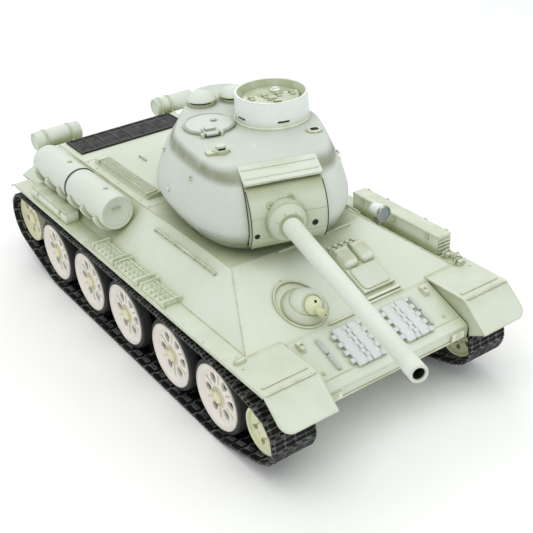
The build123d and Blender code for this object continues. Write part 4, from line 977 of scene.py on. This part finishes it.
def front_plate():
    """Spare links, tow eyes, splash rails and bolts on the front plate, its hatch and its gun."""
    links = Shape("spare_track_links")
    for x in (-16.5, -5.8, 21.5, 32.2):
        links.place = glacis(x, -118.5, 0.9) @ Matrix.Rotation(math.pi / 2, 4, "Z")
        flat_link(links, 28.0, 10.7)
    for x in (-36.5, 36.0):
        for y in (-122.6, -111.4):
            links.at(glacis(x, y)).box(-1.6, 1.6, -5.2, 5.2, 0, 1.7, 0.5)
            links.rod((0, -5.6, 1.1), (0, 5.6, 1.1), 1.0, 12)
    links.piece("hull", "links", ["spare_links"], bevel=0.14, segments=1)

    fit = Shape("front_plate_fittings")
    for side in (-1, 1):
        fit.at(glacis(side * 48.4, -107.5)).box(-2.0, 2.0, -2.6, 2.6, 0, 1.0, 0.3)
        hook = [(-1.0, -1.5, 0.8), (-1.0, -1.5, 2.2), (-1.0, 2.2, 2.6), (1.2, 2.6, 2.6), (1.2, 1.0, 2.4)]
        fit.tube(hook, 0.5)
        for x, y in ((54.0, -128.0), (54.5, -101.0), (30, -62.0)):
            fit.at(glacis(side * x, y)).bolt(0, 0, 0, 0.7, 0.45)
        fit.at().box(side * 48 - 2.6, side * 48 + 2.6, NOSE[0] - 1.5, NOSE[0] + 1.0, 49.2, 51.8, 0.3)
    fit.at().box(-56.0, 56.0, NOSE[0] - 0.35, NOSE[0] + 1.0, 46.8, 47.7, 0.1)
    fit.at(glacis(-13.0, -101.0)).box(-10.0, 10.0, -0.6, 0.6, 0, 1.5, 0.2)
    fit.at(glacis(10.0, -43.8)).box(-28, 30, -0.8, 0.8, 0, 1.5, 0.2)
    fit.at(glacis(HATCH_X, -98.8)).box(-13.4, 13.4, -0.9, 0.9, 0, 1.2, 0.2)
    fit.at(glacis(HATCH_X, -57.0))
    for x in (-9.5, -4.7, 0.0, 4.7, 9.5):
        fit.box(x - 1.2, x + 1.2, 0.9, 3.4, 0, 1.6, 0.3)
    fit.piece("hull", "trim", bevel=0.12)

    ring = Shape("gun_housing_rim", glacis(-30.0, -81.5))
    rings = []
    for c, s in around(56):
        lift = 1.0 + 0.7 * max(0.0, s)
        rings.append([(14.6 * c, 17.8 * s, -0.2), (15.6 * c, 18.9 * s, -0.2), (15.5 * c, 18.8 * s, lift),
                      (14.9 * c, 18.1 * s, lift + 0.2), (14.3 * c, 17.5 * s, lift)])
    ring.band(rings)
    ring.piece("hull", "hull", bevel=0.1)
    panel = Shape("hatch_lower_panel", glacis(HATCH_X, -83.2))
    low = rounded_box(10.8, 8.8, 3.4)
    high = rounded_box(10.2, 8.2, 2.9)
    panel.skin([[(x, y, z) for x, y in outline] for outline, z in ((low, 2.4), (low, 3.5), (high, 3.8))])
    panel.piece("driver_hatch", "drum", bevel=0.12)
    hoods = Shape("hatch_hoods")
    for x in (-6.5, 6.5):
        hoods.place = glacis(HATCH_X, -67.6) @ Matrix.Translation((x, 0, 0))
        rings = []
        for inset, z in ((0, 1.6), (0.1, 4.2), (0.6, 5.6), (1.6, 6.6), (3.0, 7.0)):
            rings.append([(px, py, z) for px, py in rounded_box(5.9 - inset, 7.0 - inset, 4.2 - inset)])
        hoods.skin(rings)
        hoods.box(-4.3, 4.3, -7.25, -6.6, 2.7, 3.4, 0.1)
    hoods.piece("driver_hatch", "drum", bevel=0.1)

    ball_place = glacis(-28.0, -84.0) @ Matrix.Translation((0, -4.6, 6.6)) @ Matrix.Rotation(-SLOPE, 4, "X")
    centre, ahead = (0, 0, 0), (0, -1, 0)
    ball = Shape("bow_gun_details", ball_place)
    ball.lathe([(2.1, 4.5), (2.5, 5.2), (2.5, 11.6), (2.2, 12.2), (1.2, 12.2), (1.2, 9.0), (0.01, 9.0)],
               centre, ahead, 28)
    ball.piece("bow_gun", "pale_green", bevel=0)
    # Near-black lining in the stub's bore and disc in the sight hole: painted shadow.
    hole = Shape("bow_gun_hole_shadows", ball_place)
    hole.lathe([(1.15, 9.1), (1.15, 11.9), (1.0, 11.9), (1.0, 9.3), (0.01, 9.3)], centre, ahead, 20)
    hole.lathe([(0.9, BALL_R - 0.6), (0.9, BALL_R + 0.12)], centre, (0, -0.64, 0.77), 20)
    hole.piece("bow_gun", "dark", bevel=0)


def plate_fittings():
    """Rail feet, tow lugs, splash strip and the round cover on the rear plate."""
    fit = Shape("plate_fittings")
    front_lug = [(NOSE[0] + 1, 53), (NOSE[0] - 1.5, 52.4), (NOSE[0] - 1.3, 48), (NOSE[0] + 1, 47.4)]
    rear_lug = [(218.0, 54.0), (222.6, 54.0), (223.8, 55.2), (223.8, 58.8), (222.6, 60.0), (218.0, 60.0)]
    for side in (-1, 1):
        fit.at().prism(front_lug, side * 48 - 5, side * 48 + 5)
        fit.at(glacis(side * 48.5, -106)).box(-1.8, 1.8, -3.2, 3.2, -0.2, 2.2, 0.3)
        fit.at(glacis(side * 46.8, -126)).lathe([(1.1, -0.2), (1.1, 0.5), (0.8, 0.8)], (0, 0, 0), steps=20)
        first, last = RAIL_Y[side]
        for y in range(first, last + 1, 12):
            fit.at(side_slope(side, y, 0.77)).box(-0.8, 0.8, -1.2, 1.2, -0.2, 2.0, 0.2)
        fit.at().prism(rear_lug, side * 40 - 1.5, side * 40 + 1.5)
        near, far = sorted((side * 83.2, side * 89.8))
        fit.box(near, far, -101.8, -98.2, FENDER_Z - 0.2, FENDER_Z + 2.3, 0.5)
    fit.at(glacis(HATCH_X, -96.6)).box(-13.3, 13.3, -1.1, 1.1, -0.2, 2.1, 0.3)
    lean = math.atan2(ROOF_Z - REAR_LIP[1], REAR_LIP[0] - ROOF_REAR_Y)
    out = Vector((0, math.sin(lean), math.cos(lean)))
    down = out.cross(Vector((1, 0, 0)))
    middle = Vector((0, (ROOF_REAR_Y + REAR_LIP[0]) / 2, (ROOF_Z + REAR_LIP[1]) / 2))
    cover = [(12.6, -0.4), (12.6, 1.1), (12.0, 1.6), (8.4, 1.6), (8.0, 1.2), (0.01, 1.2)]
    fit.at().lathe(cover, middle, out, 56)
    for c, s in around(12):
        spot = middle + Vector((10.4 * c, 0, 0)) + down * 10.4 * s
        fit.lathe([(0.7, 1.4), (0.7, 2.1), (0.5, 2.3)], spot, out, 6)
    fit.piece("hull", "trim", ["hull_fittings"], bevel=0.15)


def deck():
    """Woven screen over a painted-shade sheet, louvres, bolts and handles on the engine roof."""
    half = SCREEN_HALF
    weave = (0.72 - 0.16, 0.72 + 0.16)
    roof = Matrix.Translation((0, 0, ROOF_Z))
    wire = Shape("screen_wires", roof)
    for n in range(66):
        x = -half + 0.5 + (2 * half - 1) * n / 65
        wire.tube([(x, 175.9 + k * 0.603, weave[(k + n) % 2]) for k in range(41)], 0.17, 5)
    count = int(2 * half / 0.66)
    for n in range(20):
        y = 176.2 + 23.5 * n / 19
        wire.tube([(-half + 2 * half * k / count, y, weave[(k + n) % 2]) for k in range(count + 1)], 0.17, 5)
    wire.piece("hull", "mesh", ["mesh_screen"], bevel=0)
    rim = Shape("screen_frame", roof)
    for x0, x1, y0, y1 in ((-half - 2, half + 2, 173.6, 175.8), (-half - 2, half + 2, 200.0, 202.4),
                           (-half - 2, -half + 0.2, 175.8, 200.0), (half - 0.2, half + 2, 175.8, 200.0)):
        rim.box(x0, x1, y0, y1, 0, 1.5, 0.25)
    for index in range(1, 8):
        x = -half + 2 * half * index / 8
        rim.rod((x, 175.4, 1.1), (x, 200.4, 1.1), 0.42, 10)
    for x in (-half - 1, -15, 15, half + 1):
        for y in (174.6, 201.4):
            rim.bolt(x, y, 1.4, 0.5, 0.4)
    rim.piece("hull", "mesh", bevel=0.1)

    louvres = Shape("deck_louvre_bars", roof)
    for side in (-1, 1):
        for index in range(9):
            x, z = side * (36.4 + 0.98 * index), 4.35 - 0.12 * index
            louvres.box(x - 0.28, x + 0.28, 75.6, 147.6, z - 1.2, z, 0.1)
    louvres.piece("hull", "rack", bevel=0)
    # Near-black sheet under the screen: painted shade seen through the wires.
    under = Shape("screen_shade_sheet", roof)
    under.box(-half + 0.2, half - 0.2, 176.2, 199.8, -2.0, -1.2)
    under.piece("hull", "dark", bevel=0)

    fit = Shape("deck_fittings", roof)
    for side in (-1, 1):
        for y in (64, 76, 110, 144, 158):
            fit.bolt(side * 49.4, y, 0, 0.6, 0.5)
        near, far = sorted((side * 36.6, side * 45.6))
        fit.box(near, far, 74.6, 75.8, 2.2, 4.4, 0.1)
        fit.box(near, far, 147.2, 148.6, 2.2, 4.4, 0.1)
        x = side * 21
        fit.tube([(x, 118, 6.6), (x, 118, 8.0), (x, 128, 8.0), (x, 128, 6.6)], 0.55)
        for y in (80, 150):
            fit.bolt(side * 25, y, 6.5, 0.6, 0.5)
    for x in (-48, -44, -40, -30, -20, -10, 10, 20, 30, 44, 48):
        fit.bolt(x, -38.6, 0, 0.5, 0.35)
    fit.piece("hull", "trim", bevel=0.1)


def drums():
    """Fuel drums with pressed beads and straps, and the two rear canisters."""
    x, z = DRUM
    can = Shape("drum_bodies")
    for y0, y1 in ((65.7, 121.7), (122.3, 178.5)):
        length = y1 - y0
        ends = [(0.01, 1.2), (8.6, 1.2), (9.2, 0.7), (10.4, 0.7), (10.9, 0.1), (11.7, 0.0), (12.25, 0.5),
                (DRUM_R, 1.4)]
        outline = list(ends)
        for k in range(1, 36):
            share = k / 36
            groove = 0.30 * math.exp(-((share * 3 % 1 - 0.5) / 0.5) ** 8) - 0.30 if 0.15 < share < 0.85 else 0.0
            outline.append((DRUM_R + groove, 1.4 + (length - 2.8) * share))
        outline += [(r, length - d) for r, d in reversed(ends)]
        can.lathe(outline, (x, y0, z), (0, 1, 0), 56)
        can.lathe([(1.7, 0), (1.7, 1.2), (1.2, 1.5)], (x + 1, y0 + 16, z + 12.0), steps=20)
    y, z1 = 67.2, z + 3.0
    can.tube([(x - 3.0, y, z1), (x - 3.0, y - 1.2, z1), (x + 3.0, y - 1.2, z1), (x + 3.0, y, z1)], 0.45)
    can.piece("hull", "drum", ["fuel_drums"], bevel=0, angle=40)
    strap = Shape("drum_strap")
    strap.tube([(x + 12.7 * c, 122.0, z + 12.7 * s) for c, s in sweep(-60, 6.5, 41)], 0.42)
    strap.piece("hull", "mesh", bevel=0)

    rear = Shape("rear_canisters")
    y, z, r = 220.5, 93.0, 7.4
    across = (1, 0, 0)
    foot = [(211.5, 80.5), (206.5, 87.5), (215.0, 90.5), (219.0, 86.2)]
    for x0, x1, clamps in ((-66.0, -27.0, (-58, -37)), (44.0, 80.0, (47, 56))):
        length = x1 - x0
        cap = [(0.01, 0.9), (5.6, 0.9), (6.2, 0.2), (7.0, 0.0)]
        body = [(r, 0.5), (r, length - 0.5)]
        rear.lathe(cap + body + [(q, length - d) for q, d in reversed(cap)], (x0, y, z), across, 44)
        for at in clamps:
            rear.lathe([(r - 0.2, 0), (r + 0.45, 0), (r + 0.45, 2.0), (r - 0.2, 2.0)], (at, y, z), across, 44)
            rear.prism(foot, at + 0.2, at + 1.8)
            rear.box(at - 0.1, at + 2.1, y - 1.2, y + 1.2, z + 7.2, z + 7.8, 0.1)
    rear.piece("hull", "drum", ["smoke_canisters"], bevel=0.1, angle=40)


def cleat_racks():
    """Three racks of spare cleats on the right fender."""
    rack = Shape("cleat_rack_plates", Matrix.Translation((0, 0, FENDER_Z)))
    x0, x1 = -92.0, -79.6
    for middle in (57.0, 24.0, -10.0):
        rack.box(x0, x1, middle - 13.6, middle + 13.6, 0, 1.0)
        for index in range(5):
            y = middle - 12.6 + 5.5 * index
            rack.box(x0 + 0.4, x1 - 0.4, y, y + 3.6, 0.9, 2.4, 0.35)
            for k in range(4):
                x = x0 + 1.4 + 2.75 * k
                rack.box(x, x + 1.5, y + 0.5, y + 3.1, 2.2, 3.3, 0.3)
        for y in (middle - 14.0, middle + 14.0):
            rack.tube([(x0 - 0.2, y, 0.4), (x0 - 0.2, y, 4.2), (x1 + 0.4, y, 4.2), (x1 + 0.4, y, 0.4)], 0.55)
            for x in (x0 + 0.2, x1 + 0.2):
                rack.rod((x, y, 0), (x, y, 4.4), 0.8, 12)
            rack.bolt(x1 + 2.4, y, 0, 0.5, 0.5)
        for k in range(3):
            x = x0 + 2.4 + 3.6 * k
            rack.tube([(x, middle - 14.2, 3.5), (x, middle + 14.2, 3.5)], 0.28, 6)
    rack.piece("hull", "rack", ["cleat_racks"], bevel=0.12, segments=1)


def fender_gear():
    """Hooks, rails, clasps and bolts on the fenders, the stowage boxes and the lamp."""
    fender = Matrix.Translation((0, 0, FENDER_Z))
    fit = Shape("fender_fittings", fender)
    for side in (-1, 1):
        fit.box(*sorted((side * 58.0, side * 92.6)), -134.4, -133.4, 0.1, 0.45, 0.1)
        for k in range(12):
            x = side * (60 + 2.7 * k)
            fit.rod((x - 0.9, -133.2, 0.2), (x + 0.9, -133.2, 0.2), 0.42, 10)
        for x, y in ((88.5, -106.5), (82.0, -100.0), (90, -99.5), (85.4, -94.6)):
            fit.bolt(side * x, y, 0, 0.6, 0.5)
        near, far = side * 83.6, side * 88.4
        fit.tube([(near, -99.0, 0), (near, -99.0, 2.2), (far, -99.6, 2.2), (far, -99.6, 0)], 0.6)
        for k in range(14):
            fit.bolt(side * 91.9, -92 + 22 * k, -0.1, 0.45, 0.4)
        first, last = RAIL_Y[side]
        foot = side_slope(side, 0, 0.77).translation - Vector((0, 0, FENDER_Z))
        x, low, high = foot.x + side * 0.9, foot.z - 0.2, foot.z + 1.7
        fit.tube([(x, first, low), (x, first + 1.5, high), (x, last - 1.5, high), (x, last, low)], 0.62)
        for y in (first + 20, first + 44):
            fit.rod((foot.x, y, foot.z - 0.4), (x, y, high + 0.1), 0.6, 10)
    for y in (-80, -60, -22, -2):
        fit.box(92.5, 93.3, y - 1.4, y + 1.4, 9.6, 14.2, 0.15)
    for y in (126, 164):
        fit.box(-91.4, -89.4, y - 1.5, y + 1.5, 5.4, 9.1, 0.2)
        fit.rod((-91.9, y - 1.0, 5.2), (-91.9, y + 1.0, 5.2), 0.6, 10)
    for x, y in ((84.2, -101.6), (88.6, -96.0), (84.8, -90.2)):
        fit.box(x - 2.2, x + 2.2, y - 1.2, y + 1.2, 0, 2.4, 0.3)
        fit.lathe([(1.5, 0), (1.5, 1.2), (0.8, 1.6)], (x, y, 2.2), steps=16)
        fit.tube([(x - 3.0, y + 2.0, 0.6), (x - 2.4, y + 2.4, 3.4), (x + 2.4, y + 3.0, 3.4),
                  (x + 3.2, y + 2.4, 0.6)], 0.55)
    fit.piece("hull", "trim", bevel=0.12)

    boxes = Shape("stowage_box_shells", fender)
    section = [(-91, 0), (-91, 6.6), (-89, 8.2), (-81.2, 8.2), (-81.2, 0)]
    boxes.skin([[(x, y, z) for x, z in section] for y in (115, 176)])
    boxes.box(-90.8, -81.0, 115.6, 175.4, 8.1, 9.0, 0.4)
    for y0, y1, rise in ((-84.0, 2.0, 12.6), (60.0, 150.0, 10.4)):
        boxes.box(81.2, 92.6, y0, y1, 0, rise)
        boxes.box(80.9, 92.9, y0 - 0.4, y1 + 0.4, rise + 0.15, rise + 1.2, 0.35)
        for share in (0.12, 0.5, 0.88):
            y = y0 + share * (y1 - y0)
            boxes.box(80.6, 81.4, y - 1.6, y + 1.6, rise - 3.2, rise + 0.8, 0.15)
            boxes.rod((80.7, y - 1.9, rise - 3.4), (80.7, y + 1.9, rise - 3.4), 0.45, 10)
    for z in (1.6, 4.2, 6.8, 9.4):
        boxes.box(81.6, 92.2, -85.0, -83.9, z, z + 1.5, 0.3)
    boxes.piece("hull", "trim", ["stowage_boxes"], bevel=0.3)

    lamp = Shape("lamp_details", Matrix.Translation((68.0, -46.5, 91.0)))
    outline = [(4.9, -0.2), (5.75, 0.1), (5.85, 0.8), (5.7, 1.6), (4.9, 1.6)]
    lamp.band([[(r * c, d, r * s) for r, d in outline] for c, s in around(40)])
    lamp.lathe([(4.9, 5.0), (0.01, 5.0), (0.01, 4.7), (1.2, 4.6), (3.0, 4.0), (4.8, 2.4)], (0, 0, 0), (0, 1, 0))
    lamp.box(-3.2, 3.2, 3.5, 9.0, -7.6, -5.0, 0.4)
    lamp.piece("hull", "silver", bevel=0.1)


weld_seams()
front_plate()
plate_fittings()
deck()
drums()
cleat_racks()
fender_gear()


# ---------------------------------------------------------------- stage
def camera_pose():
    """Placement from the viewing direction and a small roll."""
    forward = Vector((0.47940, 0.71208, -0.51294)).normalized()
    roll = math.radians(-2.82)
    right = forward.cross(Vector((0, 0, 1))).normalized()
    up = right.cross(forward)
    turned = right * math.cos(roll) + up * math.sin(roll)
    above = up * math.cos(roll) - right * math.sin(roll)
    pose = Matrix((turned, above, -forward)).transposed().to_4x4()
    pose.translation = Vector((-318.1, -475.9, 396.5)) * MM
    return pose


def stage():
    """Pale floor, soft lights and the camera."""
    bpy.ops.mesh.primitive_plane_add(size=8, location=(0, 0, -0.0003))
    floor = bpy.context.object
    floor.name = "floor"
    pale = Nodes("studio floor")
    tone = pale.mix(pale.ramp(pale.noise(1.5), 0.3, 0.7), rgb(254, 254, 253), rgb(251, 252, 250))
    floor.data.materials.append(pale.finish(tone, 0.85))
    world = bpy.data.worlds.new("studio")
    bpy.context.scene.world = world
    world.use_nodes = True
    background = world.node_tree.nodes["Background"]
    background.inputs["Color"].default_value = (0.97, 0.985, 1.0, 1.0)
    background.inputs["Strength"].default_value = 0.70
    aim = Vector((0, 0, 0.05))
    for name, spot, size, power, tint in (
        ("key", (-0.35, -0.35, 1.35), 1.1, 8.0, (1.0, 0.99, 0.96)),
        ("fill", (0.9, -0.9, 0.9), 1.3, 2.2, (0.96, 0.98, 1.0)),
        ("back", (0.45, 1.1, 1.0), 1.0, 4.0, (1.0, 1.0, 1.0)),
    ):
        data = bpy.data.lights.new(name, "AREA")
        data.size = size
        data.energy = power
        data.color = tint
        lamp = bpy.data.objects.new(name, data)
        bpy.context.scene.collection.objects.link(lamp)
        lamp.location = spot
        lamp.rotation_euler = (aim - Vector(spot)).to_track_quat("-Z", "Y").to_euler()
    data = bpy.data.cameras.new("camera")
    data.sensor_width = 36.0
    data.lens = 65.5
    data.clip_start = 0.01
    camera = bpy.data.objects.new("camera", data)
    bpy.context.scene.collection.objects.link(camera)
    camera.matrix_world = camera_pose()
    bpy.context.scene.camera = camera
    bpy.context.scene.view_settings.view_transform = "Standard"


stage()
